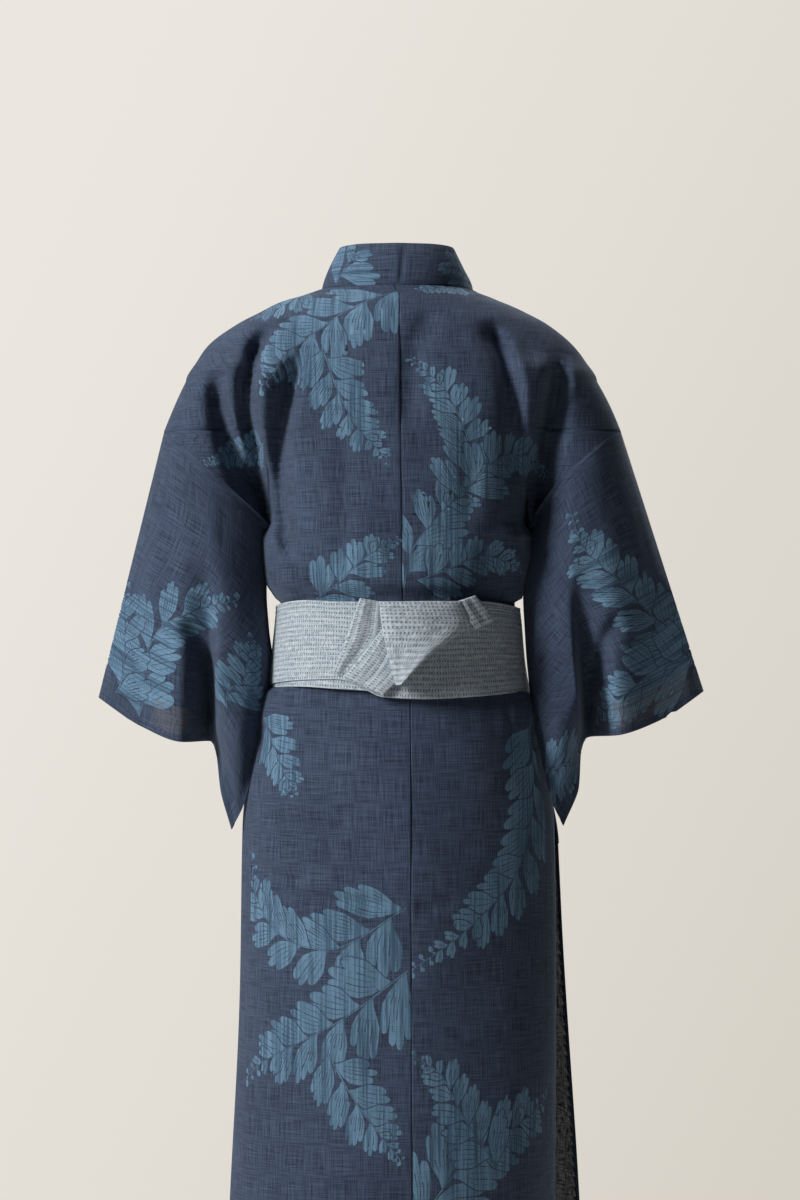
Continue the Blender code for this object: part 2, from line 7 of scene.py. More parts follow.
import bmesh
import bpy
import numpy as np
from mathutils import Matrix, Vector
from mathutils.geometry import delaunay_2d_cdt


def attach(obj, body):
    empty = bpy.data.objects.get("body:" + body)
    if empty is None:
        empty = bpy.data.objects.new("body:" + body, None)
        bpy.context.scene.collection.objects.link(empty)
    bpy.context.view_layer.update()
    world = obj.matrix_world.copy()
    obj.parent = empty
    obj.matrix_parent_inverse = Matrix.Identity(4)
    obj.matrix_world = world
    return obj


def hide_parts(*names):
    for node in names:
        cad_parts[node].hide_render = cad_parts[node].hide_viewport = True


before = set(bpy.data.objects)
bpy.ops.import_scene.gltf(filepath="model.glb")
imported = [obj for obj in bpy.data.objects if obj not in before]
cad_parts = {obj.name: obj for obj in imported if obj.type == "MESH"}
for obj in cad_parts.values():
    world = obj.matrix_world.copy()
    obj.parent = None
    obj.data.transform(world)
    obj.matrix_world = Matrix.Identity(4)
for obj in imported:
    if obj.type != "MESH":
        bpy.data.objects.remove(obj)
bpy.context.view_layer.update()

# Sizes in metres. Heights are above the wearer's floor, and the frame's origin is at HOLD_HEIGHT.
# x runs to the wearer's left and y to the back.
SIGN = {"left": 1, "right": -1}
HOLD_HEIGHT = 1.45
SEAM_GAP = 0.0004
SEAM_OVERLAP = 0.0004  # how far a seam's hidden lip reaches past the seam line
BAND_RISE = 0.0008
BAND_WALL = 0.0024
FOLD_ANGLES = (35, 65, 90, 115, 145)
# The small pleat behind the neck: its place, how it leans, its widths to the left and right, and its depth
PLEAT_X, PLEAT_LEAN, PLEAT_WIDTHS, PLEAT_DEPTH = 0.0035, 0.0050, (0.0016, 0.0040), 0.0020
NECK_GAP, NECK_INSET = 0.0025, 0.97
NECK_RISE, NECK_BOW = 0.010, 0.004
LAP = 0.0052
OBI_TOP, OBI_BOTTOM = 1.131, 1.030
OBI_SAG = 0.012  # how much lower the belt lies in front
TUCK_HIDDEN = 0.012  # how far a tuck starts behind the belt's edge
TUCK_FAN, TUCK_WIDENING = 0.16, 0.8  # shares by which it has moved outwards and widened at its end
OBI_WALL = 0.0018
INNER_TURN, OUTER_TURN = 0.0092, 0.0118
INNER_TURN_DROP, OUTER_RIPPLE = 0.004, 0.0006
UNDERARM = 1.20
SLEEVE_SEAM_TOP = 1.3148
PAST_SIDE = 9.0  # an x beyond any section's side
TINY = 1e-6
WELD, PLANE_WELD = 1e-5, 1e-3  # points nearer than this are one: in metres, and in a Domain's plane in mm
OVERLAP_TOP = 1.18
COLLAR_END = 0.86
SIDE_SEAM = 0.93
LAP_START, LAP_FULL = 0.45, 0.93
LAP_LEVEL, LAP_GONE = 1.39, 1.47
CLOSE_X = (0.095, 0.215)
CLOSE_GAIN = 2.2
# Where the front's side columns end: a share of the half width, held between two shares of the front's reach
FRONT_TURN, TURN_SHARE = 0.76, (0.35, 0.6)
NECK_SWING = 0.006
NECK_DIP = 0.0042
SKIRT_TURN, BELT_TURN = 0.011, 0.007
ARM_FADE = 1.378  # height above which the arm's form melts into the shoulder

# Fine rows and columns
BODY_ROW_SPANS = (
    # from, to, rows
    (0.07, 0.78, 64),
    (0.78, 0.90, 34),
    (0.90, 1.20, 80),
    (1.2103, SLEEVE_SEAM_TOP, 54),
    (SLEEVE_SEAM_TOP, 1.4745, 76),
)
BODY_ROWS = np.unique(np.round(np.concatenate([np.linspace(*span) for span in BODY_ROW_SPANS]), 5))
BACK_COLUMNS, FRONT_COLUMNS, SIDE_COLUMNS = 116, 46, 16
OVERLAP_COLUMNS, COLLAR_COLUMNS = 14, 9
SLEEVE_STEPS = 96
TUCKED_IN = (0.006, 0.0022, 0.0015)  # how far a sleeve's top reaches in under the body's edge
NECK_STEPS = 90
OBI_COLUMNS = 240
KNOT_ROWS, KNOT_COLUMNS = 44, 30
DENSE = 241
HEM, NARROW_HEM = 0.020, 0.007  # how much cloth is turned under
HEM_PITCH, SLEEVE_HEM_PITCH = 0.009, 0.007  # from stitch to stitch

# Torso and skirt sections. left and right are half widths, back and front are depths,
# seam is how far the centre back seam has swung to the wearer's left.
TORSO = {
    "height": (
        0.07, 0.30, 0.47, 0.70, 0.88, 0.96, 0.995, 1.03, 1.08, 1.13, 1.15, 1.20,
        1.26, 1.30, 1.34, 1.37, 1.3918, 1.4105, 1.4325, 1.4468, 1.46, 1.4745,
    ),
    "left": (
        0.2005, 0.192, 0.1845, 0.1735, 0.1705, 0.161, 0.151, 0.136, 0.130, 0.1265, 0.1365, 0.1405,
        0.1450, 0.160, 0.196, 0.2325, 0.2205, 0.208, 0.180, 0.154, 0.129, 0.086,
    ),
    "right": (
        0.175, 0.171, 0.169, 0.170, 0.168, 0.157, 0.1460, 0.1290, 0.1207, 0.1182, 0.1208, 0.132,
        0.1375, 0.152, 0.186, 0.2146, 0.202, 0.1875, 0.1605, 0.134, 0.106, 0.084,
    ),
    "back": (
        0.150, 0.140, 0.134, 0.127, 0.125, 0.121, 0.117, 0.112, 0.107, 0.107, 0.115, 0.118,
        0.120, 0.120, 0.119, 0.116, 0.112, 0.106, 0.099, 0.092, 0.085, 0.0785,
    ),
    "front": (
        0.165, 0.150, 0.140, 0.130, 0.122, 0.117, 0.113, 0.108, 0.104, 0.104, 0.110, 0.114,
        0.119, 0.121, 0.121, 0.117, 0.112, 0.104, 0.092, 0.082, 0.070, 0.058,
    ),
    "square": (
        2.1, 2.1, 2.1, 2.1, 2.1, 2.08, 2.05, 2.03, 2.03, 2.05, 2.15, 2.4,
        2.5, 2.4, 2.3, 2.2, 2.2, 2.1, 2.05, 2.0, 2.0, 2.0,
    ),
    "seam": (
        -0.0135, -0.012, -0.011, -0.0102, -0.0098, -0.0095, -0.0093, -0.0088, -0.005, -0.0012, -0.0006, 0.0,
        0.001, 0.0015, 0.002, 0.0023, 0.0025, 0.0028, 0.003, 0.003, 0.003, 0.003,
    ),
}
# Upper arm beside the chest, from the outer fold to where it meets the torso.
ARM = {
    "height": (1.20, 1.25, 1.30, 1.34, 1.37, 1.40),
    "outer left": (0.287, 0.276, 0.262, 0.2465, 0.2325, 0.215),
    "outer right": (0.279, 0.2635, 0.2466, 0.2305, 0.2146, 0.196),
    "inner": (0.142, 0.132, 0.112, 0.090, 0.070, 0.060),
    "back": (0.058, 0.064, 0.072, 0.080, 0.084, 0.084),
    "front": (0.070, 0.076, 0.082, 0.086, 0.086, 0.084),
    "soft": (0.006, 0.014, 0.026, 0.040, 0.050, 0.050),
}
# Sleeve seam on the body, from the underarm to the shoulder.
ARMHOLE = {
    "height": (1.2103, 1.2235, 1.262, 1.290, 1.3053, 1.3148),
    "left": (0.150, 0.163, 0.201, 0.2265, 0.243, 0.2575),
    "right": (0.143, 0.150, 0.1765, 0.206, 0.2235, 0.2415),
}
# The left front's lines: collar seam, the collar's free edge, and the seam between front and overlap.
FRONT_LINES = {
    "height": (0.07, 0.47, 0.86, 0.95, 1.03, 1.13, 1.18, 1.24, 1.30, 1.365, 1.415, 1.447, 1.4745),
    "collar": (
        -0.146, -0.139, -0.136, -0.121, -0.098, -0.090, -0.078,
        -0.043, -0.010, 0.025, 0.052, 0.0705, 0.082,
    ),
    "edge": (
        -0.170, -0.165, -0.1655, -0.152, -0.126, -0.119, -0.1155,
        -0.088, -0.055, -0.018, 0.012, 0.036, 0.060,
    ),
    "overlap": (-0.060, -0.064, -0.070, -0.072, -0.074, -0.075, -0.076, *[-0.08] * 6),
}
# How far the left overlap's free edge stands off the right hip.
EDGE_FLARE = {"height": (0.07, 0.30, 0.47, 0.80, 0.95, 1.20), "out": (0.042, 0.036, 0.028, 0.006, 0.0, 0.0)}
# The collar's free edge round the neck, from the front of the shoulder (0) to the centre back (1).
NECK = {
    "turn": (0.0, 0.2, 0.45, 0.75, 1.0),
    "x": (0.060, 0.067, 0.062, 0.037, 0.0),
    "y": (-0.042, -0.012, 0.022, 0.051, 0.059),
    "height": (1.4845, 1.499, 1.5155, 1.5170, 1.5172),
}

# Sleeve stations, as seen from the back: t runs from the shoulder fold (0) to the seam under the arm (1),
# and a sleeve's q runs from its seam on the body (0) to the cuff (1).
SEAM_SHARE = {
    "height": (1.2103, 1.2235, 1.2515, 1.2695, 1.2895, 1.3085, 1.3148),
    "t": (1.0, 0.87, 0.65, 0.50, 0.35, 0.15, 0.0),
}
SLEEVE_T = (0.0, 0.15, 0.35, 0.50, 0.65, 0.85, 1.0)
CUFF = {
    "left x": (0.334, 0.288, 0.242, 0.212, 0.203, 0.198, 0.186),
    "left height": (1.023, 0.993, 0.976, 0.974, 0.958, 0.922, 0.880),
    "right x": (0.332, 0.288, 0.240, 0.205, 0.196, 0.193, 0.176),
    "right height": (1.030, 1.001, 0.984, 0.978, 0.960, 0.925, 0.884),
}
# Where light comes through a sleeve's single cloth, in t and in q: there light passes between its threads and
# its colour is paled with painted backlight
SHEER_CUFF = {"left": (0.20, 0.40), "right": (0.04, 0.38)}
SHEER_Q = (0.885, 0.978)
SLEEVE_Q = (0.0, 0.25, 0.5, 0.75, 1.0)
# Depth of the sleeve's two layers at SLEEVE_T, a row for each later value of SLEEVE_Q.
SLEEVE_BACK = (
    (0.000, 0.040, 0.060, 0.064, 0.058, 0.038, 0.008),
    (0.000, 0.038, 0.058, 0.050, 0.060, 0.048, 0.022),
    (0.000, 0.028, 0.052, 0.016, 0.062, 0.060, 0.038),
    (0.000, 0.020, 0.044, -0.022, 0.004, 0.024, 0.034),
)
SLEEVE_FRONT = (
    (0.000, -0.044, -0.072, -0.080, -0.074, -0.044, 0.002),
    (0.000, -0.044, -0.076, -0.082, -0.064, -0.020, 0.016),
    (0.000, -0.040, -0.072, -0.076, -0.046, 0.006, 0.032),
    (0.000, -0.032, -0.056, -0.028, -0.002, 0.018, 0.028),
)
# How far the hanging seam is drawn in towards the body, over the sleeve's q.
SLEEVE_PULL = {
    "q": (0.0, 0.22, 0.34, 0.47, 0.60, 0.78, 0.92, 1.0),
    "left": (0.0, 0.007, 0.0145, 0.0235, 0.0235, 0.0170, 0.010, 0.0),
    "right": (0.0, 0.0200, 0.0220, 0.0232, 0.0230, 0.0175, 0.010, 0.0),
}


def smooth(xs, ys, x):
    """Cubic curve through a table's values that never overshoots them."""
    xs, ys = np.asarray(xs, float), np.asarray(ys, float)
    x = np.clip(x, xs[0], xs[-1])
    step = np.diff(xs)
    slope = np.diff(ys) / step
    lean = np.zeros_like(ys)
    same_way = slope[:-1] * slope[1:] > 0
    weight = (step[1:] + 2 * step[:-1]) / (3 * (step[1:] + step[:-1]))
    with np.errstate(divide="ignore", invalid="ignore"):
        middle = 1 / (weight / slope[:-1] + (1 - weight) / slope[1:])
    lean[1:-1] = np.where(same_way, np.nan_to_num(middle), 0)
    lean[0], lean[-1] = slope[0], slope[-1]
    i = np.clip(np.searchsorted(xs, x, side="right") - 1, 0, len(xs) - 2)
    u = (x - xs[i]) / step[i]
    return (
        ys[i] * (1 + 2 * u) * (1 - u) ** 2
        + ys[i + 1] * u * u * (3 - 2 * u)
        + step[i] * u * (1 - u) * (lean[i] * (1 - u) - lean[i + 1] * u)
    )


def at(table, column, height):
    return float(smooth(table["height"], table[column], height))


def unit(vectors, least=1e-9):
    """Vectors brought to length 1, but for those shorter than least."""
    return vectors / np.maximum(np.linalg.norm(vectors, axis=-1, keepdims=True), least)


def run_of(line):
    """How far each point of a line lies along it."""
    return np.concatenate([[0], np.cumsum(np.linalg.norm(np.diff(line, axis=0), axis=1))])


def blended(places, xs, columns):
    """Columns of values read off at places along xs, side by side."""
    return np.stack([np.interp(places, xs, column) for column in columns.T], -1)


def ease(x):
    x = np.clip(x, 0, 1)
    return x * x * (3 - 2 * x)


def quarter_section(height, side, face):
    """(x, y) of one quarter of the section, from the centre line out to the side, x counted outwards."""
    turn = np.linspace(0, np.pi / 2, DENSE)
    half = at(TORSO, side, height)
    depth = at(TORSO, face, height)
    power = at(TORSO, "square", height)
    armed = UNDERARM < height < ARM["height"][-1]
    reach = max(half, at(ARM, "outer " + side, height)) if armed else half
    x = reach * np.sin(turn) ** 0.9
    inside = np.clip(1 - (x / half) ** power, 0, None) ** (1 / power)
    y = np.where(x <= half, depth * inside, half - x)
    if armed:
        inner = at(ARM, "inner", height)
        middle, radius = (reach + inner) / 2, (reach - inner) / 2
        off = np.abs(x - middle)
        round_arm = at(ARM, face, height) * np.sqrt(np.clip(1 - (off / radius) ** 2, 0, None))
        arm = np.where(off < radius, round_arm, radius - off)
        soft = at(ARM, "soft", height) * np.clip((reach - x) / 0.03, 0, 1) + TINY
        near = np.clip(soft - np.abs(y - arm), 0, None) / soft
        with_arm = np.maximum(y, arm) + near * near * soft / 4
        y = with_arm + (y - with_arm) * ease((height - ARM_FADE) / (ARM["height"][-1] - ARM_FADE))
    y = np.clip(y, 0, None)
    return x, y if face == "back" else -y


def quarter_line(height, side, face, start, end):
    """Points of one quarter between two x values in that order: columns x, y and closeness."""
    x, y = quarter_section(height, side, face)
    low, high = min(start, end), min(max(start, end), x[-1])
    inside = (x > low + TINY) & (x < high - TINY)
    xs = np.concatenate([[low], x[inside], [high]])
    ys = np.interp(xs, x, y)
    close = ease((xs - CLOSE_X[0]) / 0.01) * ease((CLOSE_X[1] - xs) / 0.02) * ease((height - 1.10) / 0.06)
    line = np.column_stack([SIGN[side] * xs, ys, 1 + CLOSE_GAIN * close])
    return line if start < end else line[::-1]


def other(side):
    return "right" if side == "left" else "left"


def row_line(height, side, start, stop):
    """A dense line round one panel's own way, back to front, from start to stop.

    start and stop are (face, x), x outwards on the panel's own side, and negative past the centre line.
    """
    (start_face, start_x), (stop_face, stop_x) = start, stop
    spans = []
    if start_face == "back":
        if start_x < 0:
            spans.append((other(side), "back", -start_x, 0))
        spans.append((side, "back", max(start_x, 0), stop_x if stop_face == "back" else PAST_SIDE))
    if stop_face == "front":
        begin = start_x if start_face == "front" else PAST_SIDE
        if begin > 0:
            spans.append((side, "front", begin, max(stop_x, 0)))
        if stop_x < 0:
            spans.append((other(side), "front", max(-begin, 0), -stop_x))
    quarters = [quarter_line(height, *span) for span in spans]
    line = np.vstack([quarters[0]] + [quarter[1:] for quarter in quarters[1:]])
    tangent = np.gradient(line[:, :2], axis=0)
    normal = np.stack([-tangent[:, 1], tangent[:, 0]], 1) * SIGN[side]
    return np.column_stack([line, unit(normal)])


def spread(line, count):
    """count + 1 points along a dense line, closer together where the line says so."""
    step = np.linalg.norm(np.diff(line[:, :2], axis=0), axis=1) * (line[1:, 2] + line[:-1, 2]) / 2
    length = np.concatenate([[0], np.cumsum(step)])
    return blended(np.linspace(0, length[-1], count + 1), length, line)


def placed(line, height, out):
    """3-D points of a line at one height, moved outwards by out."""
    flat = line[:, :2] + line[:, 3:5] * np.reshape(out, (-1, 1))
    return np.column_stack([flat, np.full(len(line), height)])


def lift(points, height, side):
    """How far a panel's points stand off the body's own wall: the left panel rises, to lie over the right."""
    if side == "right":
        return np.zeros(len(points))
    share = np.where(points[:, 1] > 0, points[:, 0] / at(TORSO, "left", height), 1)
    rise = ease((share - LAP_START) / (LAP_FULL - LAP_START))
    return LAP * rise * (1 - ease((height - LAP_LEVEL) / (LAP_GONE - LAP_LEVEL)))


def body_grids(side):
    """Back and front of one body panel, as grids of points that meet at the side and on the shoulder."""
    backs, fronts = [], []
    for height in BODY_ROWS:
        half = at(TORSO, side, height)
        centre = at(TORSO, "seam", height) * SIGN[side] + SEAM_GAP / 2
        line_name = "overlap" if height <= OVERLAP_TOP else "collar"
        front_edge = at(FRONT_LINES, line_name, height) + SEAM_GAP
        if height <= UNDERARM:
            risen = ease((height - OBI_TOP) / (UNDERARM - OBI_TOP))
            seam_x, seam_face = (SIDE_SEAM + (1 - SIDE_SEAM) * risen) * half, "back"
        elif height < SLEEVE_SEAM_TOP - TINY:
            seam_x, seam_face = at(ARMHOLE, side, height), "front"
        else:
            seam_x, seam_face = PAST_SIDE, "front"
        back = spread(row_line(height, side, ("back", centre), ("back", seam_x)), BACK_COLUMNS)
        reach = quarter_section(height, side, "front")[0][-1]
        turn_low, turn_high = front_edge + np.array(TURN_SHARE) * (reach - front_edge)
        turn = ("front", np.clip(FRONT_TURN * half, turn_low, turn_high))
        outer = row_line(height, side, (seam_face, seam_x), turn)
        outer[:, 2] = 1
        inner = spread(row_line(height, side, turn, ("front", front_edge)), FRONT_COLUMNS - SIDE_COLUMNS)
        front = np.vstack([spread(outer, SIDE_COLUMNS), inner[1:]])
        for rows, row in ((backs, back), (fronts, front)):
            rows.append(placed(row, height, lift(row, height, side)))
    return np.array(backs), np.array(fronts)


def overlap_row(height, side, start, stop, count, more=0.0):
    """Points on the front between two x values. The left side's flare away from the hip, and rise by more."""
    line = spread(row_line(height, side, ("front", start), ("front", stop)), count)
    out = lift(line, height, side) * (1 + more / LAP)
    if side == "left":
        edge, seam = at(FRONT_LINES, "edge", height), at(FRONT_LINES, "overlap", height)
        share = (line[:, 0] - seam) / (edge - seam)
        out = out + at(EDGE_FLARE, "out", height) * ease((share - 0.25) / 0.75) * np.clip(share, 0, 1)
    return placed(line, height, out)


def overlap_grids(side):
    """The front's long narrow panel: the part up to its pointed top, and the part outside the collar seam."""
    inner_rows, outer_rows = [], []
    for height in BODY_ROWS[BODY_ROWS <= OVERLAP_TOP + TINY]:
        seam, collar, edge = (at(FRONT_LINES, key, height) for key in ("overlap", "collar", "edge"))
        inner_rows.append(overlap_row(height, side, seam, collar + SEAM_GAP, OVERLAP_COLUMNS))
        if height <= COLLAR_END + TINY:
            outer_rows.append(overlap_row(height, side, collar + SEAM_GAP, edge, COLLAR_COLUMNS))
    return np.array(inner_rows), np.array(outer_rows)


def collar_half(side):
    """Rows across one half of the collar, from its lower end up the front and round to the centre back."""
    rows = []
    share = np.linspace(0, 1, COLLAR_COLUMNS + 1)
    for height in BODY_ROWS[BODY_ROWS >= COLLAR_END]:
        low = max(height, COLLAR_END + SEAM_GAP)
        collar = at(FRONT_LINES, "collar", height) - SEAM_GAP - NECK_GAP * ease((height - 1.44) / 0.03)
        edge = at(FRONT_LINES, "edge", height)
        row = overlap_row(low, side, collar, edge, COLLAR_COLUMNS, BAND_RISE)
        row[:, 2] += NECK_RISE * ease((height - 1.40) / 0.0745) * share
        rows.append(row)
    top = BODY_ROWS[-1]
    seam_x = at(FRONT_LINES, "collar", top) - SEAM_GAP
    ring = spread(row_line(top, side, ("back", 0), ("front", seam_x))[::-1], NECK_STEPS)
    share = share[:, None]
    for step, seam in enumerate(ring[1:], 1):
        low = np.array([seam[0] * NECK_INSET, seam[1] * NECK_INSET, top + SEAM_GAP])
        high = np.array([smooth(NECK["turn"], NECK[key], step / NECK_STEPS) for key in ("x", "y", "height")])
        high[0] *= SIGN[side]
        bow = NECK_BOW * np.sin(np.pi * share) * np.array([high[0], high[1], 0]) / NECK["x"][0]
        rows.append(low + (high - low) * share + bow)
    return rows


def sleeve_points(side, layer, t, q, heads):
    """Points of one sleeve layer at stations t (a row) and q (a column), from the armhole's points on."""
    sign = SIGN[side]
    cuff_x = smooth(SLEEVE_T, CUFF[side + " x"], t) * sign
    cuff_height = smooth(SLEEVE_T, CUFF[side + " height"], t)
    rows = SLEEVE_BACK if layer == "back" else SLEEVE_FRONT
    depths = np.array([heads[:, 1]] + [smooth(SLEEVE_T, row, t) for row in rows])
    x = heads[:, 0] + (cuff_x - heads[:, 0]) * q
    height = heads[:, 2] + (cuff_height - heads[:, 2]) * q
    x = x - sign * smooth(SLEEVE_PULL["q"], SLEEVE_PULL[side], q) * ease((t - 0.6) / 0.4)
    y = np.array([smooth(SLEEVE_Q, depths[:, k], q[:, 0]) for k in range(len(t))]).T
    return np.stack([x, y, height], 2)


def sleeve_grids(side, back, front):
    """Both layers of a sleeve from the fold to the seam below, starting at the body's armhole."""
    inside = np.nonzero((BODY_ROWS > UNDERARM) & (BODY_ROWS <= SLEEVE_SEAM_TOP + TINY))[0][::-1]
    t = np.array([at(SEAM_SHARE, "t", BODY_ROWS[r]) for r in inside])
    q = np.concatenate([np.linspace(0, 0.1, 13), np.linspace(0.1, 1, SLEEVE_STEPS + 1)[1:]])[:, None]
    layers = []
    for layer, edge in (("back", back[inside, -1]), ("front", front[inside, 0])):
        grid = sleeve_points(side, layer, t, q, edge)
        inner = grid[:1] - (TUCKED_IN[0] * SIGN[side], 0, TUCKED_IN[2])
        inner[..., 1] -= np.sign(inner[..., 1]) * TUCKED_IN[1]
        layers.append(np.concatenate([inner, grid]))
    q = np.concatenate([[[-0.02]], q])
    middle = (layers[0][..., 1] + layers[1][..., 1]) / 2
    sewn_end = ease((q - 0.90) / 0.10) * ease((t - 0.50) / 0.05)
    sewn_below = np.maximum(ease((t - 0.93) / 0.07) * np.ones_like(q), sewn_end) * ease((q + 0.001) / 0.04)
    for layer, sign in zip(layers, (1, -1)):
        layer[..., 1] += (middle + sign * 0.0004 - layer[..., 1]) * sewn_below
    return layers[0], layers[1], t, q[:, 0]


def belt_ring(height, out):
    """Points right round the waist at one height, out from the body's wall."""
    left = row_line(height, "left", ("back", 0), ("front", 0))
    right = row_line(height, "right", ("back", 0), ("front", 0))[::-1]
    line = np.vstack([left, right[1:]])
    line[:, 2] = 1
    return placed(spread(line, OBI_COLUMNS)[:-1], height, out)


def belt_back(x, height):
    """Depth of the outer turn's face on the back."""
    line = row_line(height, "left" if x >= 0 else "right", ("back", 0), ("back", PAST_SIDE))
    points = placed(line, height, OUTER_TURN)
    points = points[points[:, 0].argsort()]
    return np.interp(x, points[:, 0], points[:, 1]) - right_turn(x, BELT_TURN)


# Edges of the knot's pieces on the back, (x, height) from the top down, how far each piece's outer face
# stands off the belt and how thick it is. A piece is a patch between its left edge and its right edge, and a
# turned piece has its cloth's rows running down it. folds are (place across, width, depth).
KNOT = {
    "obi_knot_loop": {
        "left": ((0.0451, 1.1322), (0.0580, 1.0950), (0.0737, 1.0519)),
        "right": ((0.0198, 1.1278), (0.0190, 1.1000), (0.0600, 1.0470)),
        "stand": 0.0060, "thick": 0.0050, "tilt": -0.0060, "turned": True,
        "folds": ((0.30, 0.10, 0.0012), (0.62, 0.08, -0.0010)),
    },
    "obi_knot_band": {
        "left": ((0.0200, 1.1010), (0.0400, 1.0750), (0.0638, 1.0475)),
        "right": ((-0.0040, 1.0850), (0.0010, 1.0500), (0.0198, 1.0277)),
        "stand": 0.0090, "thick": 0.0064, "tilt": 0.0, "turned": True,
        "folds": ((0.22, 0.06, 0.0010), (0.48, 0.05, -0.0008)),
    },
    "obi_knot_fold": {
        "left": ((0.0245, 1.1285), (0.0225, 1.1070), (0.0150, 1.0720), (0.0070, 1.0390)),
        "right": ((-0.0638, 1.1289), (-0.0730, 1.1060), (-0.0330, 1.0735), (0.0010, 1.0400)),
        "stand": 0.0210, "thick": 0.0090, "tilt": 0.0100, "turned": False,
        "folds": ((0.85, 0.14, 0.0012), (0.30, 0.12, -0.0010)),
    },
    "obi_knot_tail": {
        "left": ((-0.0600, 1.1290), (-0.0690, 1.1135), (-0.0792, 1.0983)),
        "right": ((-0.0785, 1.1350), (-0.0905, 1.1220), (-0.0998, 1.1072)),
        "stand": 0.0125, "thick": 0.0050, "tilt": 0.0085, "turned": False,
        "folds": ((0.30, 0.10, 0.0012), (0.60, 0.10, -0.0010)),
    },
}
# Creases given one by one. Each runs through points (x, height) on one face, with the half widths of its two
# slopes (to the wearer's right and left) and its depth, which is negative in a valley. Each face's last
# ones, near height 0.8, are drag lines across the hips.
BODY_CREASES = {
    # face: points, right slope, left slope, depth
    "back": (
        (
            ((0.134, 1.434), (0.158, 1.395), (0.167, 1.340), (0.159, 1.290), (0.153, 1.235), (0.149, 1.185)),
            0.0068, 0.0115, -0.032,
        ),
        (
            ((0.106, 1.406), (0.121, 1.356), (0.131, 1.290), (0.127, 1.215), (0.118, 1.158)),
            0.0095, 0.0105, -0.025,
        ),
        (((0.205, 1.394), (0.195, 1.325), (0.181, 1.286), (0.155, 1.230)), 0.0105, 0.0125, -0.032),
        (((0.148, 1.385), (0.149, 1.320), (0.142, 1.240)), 0.0080, 0.0060, 0.006),
        (((0.064, 1.320), (0.062, 1.240), (0.066, 1.160)), 0.0080, 0.0080, -0.004),
        (((-0.036, 1.446), (-0.012, 1.395), (-0.006, 1.300)), 0.0130, 0.0100, -0.007),
        (((-0.090, 1.436), (-0.110, 1.390), (-0.121, 1.330), (-0.124, 1.245)), 0.0090, 0.0120, -0.019),
        (((-0.112, 1.420), (-0.128, 1.385), (-0.136, 1.320), (-0.137, 1.240)), 0.0080, 0.0070, 0.004),
        (
            ((-0.174, 1.404), (-0.164, 1.345), (-0.157, 1.290), (-0.147, 1.225), (-0.138, 1.165)),
            0.0120, 0.0115, -0.040,
        ),
        (((-0.070, 1.330), (-0.074, 1.270), (-0.070, 1.200)), 0.0100, 0.0100, -0.004),
        (((0.168, 0.842), (0.137, 0.834), (0.098, 0.829)), 0.0045, 0.0060, -0.0100),
        (((0.150, 0.826), (0.090, 0.812), (0.004, 0.803)), 0.0050, 0.0070, -0.0095),
        (((0.150, 0.896), (0.100, 0.889), (0.050, 0.883)), 0.0045, 0.0065, -0.0080),
        (((-0.012, 0.806), (-0.036, 0.804), (-0.062, 0.808)), 0.0055, 0.0090, -0.0030),
    ),
    "front": (
        (((0.110, 1.400), (0.128, 1.320), (0.132, 1.220)), 0.0160, 0.0160, -0.012),
        (((-0.112, 1.400), (-0.128, 1.320), (-0.130, 1.220)), 0.0160, 0.0160, -0.012),
        (((0.150, 0.842), (0.090, 0.830), (0.020, 0.822)), 0.0070, 0.0090, -0.0018),
        (((-0.010, 0.850), (-0.070, 0.842), (-0.140, 0.851)), 0.0070, 0.0090, -0.0018),
    ),
}
SLEEVE_CREASES = {
    "left": (
        (((0.262, 1.270), (0.250, 1.150), (0.262, 1.040)), 0.012, 0.016, -0.004),
        (((0.243, 1.112), (0.222, 1.085), (0.209, 1.040), (0.206, 0.985)), 0.007, 0.014, -0.013),
    ),
    "right": ((((-0.238, 1.120), (-0.220, 1.085), (-0.208, 1.040), (-0.204, 0.985)), 0.014, 0.007, -0.010),),
}
BODY_SWELL, SLEEVE_SWELL = (0.10, 0.0010), (0.09, 0.0016)  # length and height of the low waves
SWELL_SEED = {"body_left": 5, "body_right": 9, "okumi": 15, "sleeve_left": 31, "sleeve_right": 47}


def drawn(points, places=np.linspace(0, 1, 33)):
    """A smooth line through a few points, at places from 0 to 1, spaced evenly in the points' own order."""
    stations = np.linspace(0, 1, len(points))
    return np.stack([smooth(stations, column, places) for column in np.array(points, float).T], 1)


def crease_shift(x, height, points, right, left, depth):
    """How far one crease moves the cloth outwards at each place, dying out towards both its ends."""
    line = drawn(points)
    reach = 3 * max(right, left)
    low, high = line.min(0) - reach, line.max(0) + reach
    near = (x > low[0]) & (x < high[0]) & (height > low[1]) & (height < high[1])
    moved = np.zeros(x.shape)
    if not near.any():
        return moved
    gap = np.stack([x[near], height[near]], 1)[:, None] - line[None]
    distance = np.hypot(gap[..., 0], gap[..., 1])
    nearest = distance.argmin(1)
    step = np.gradient(line, axis=0)
    step = (step / np.linalg.norm(step, axis=1, keepdims=True))[nearest]
    offset = gap[np.arange(len(gap)), nearest]
    side = step[:, 0] * offset[:, 1] - step[:, 1] * offset[:, 0]
    width = np.where(side * np.sign(step[:, 1] + 1e-9) < 0, left, right)
    along = nearest / (len(line) - 1)
    fade = ease(along / 0.2) * ease((1 - along) / 0.2)
    moved[near] = depth * fade * np.exp(-((distance.min(1) / width) ** 2))
    return moved


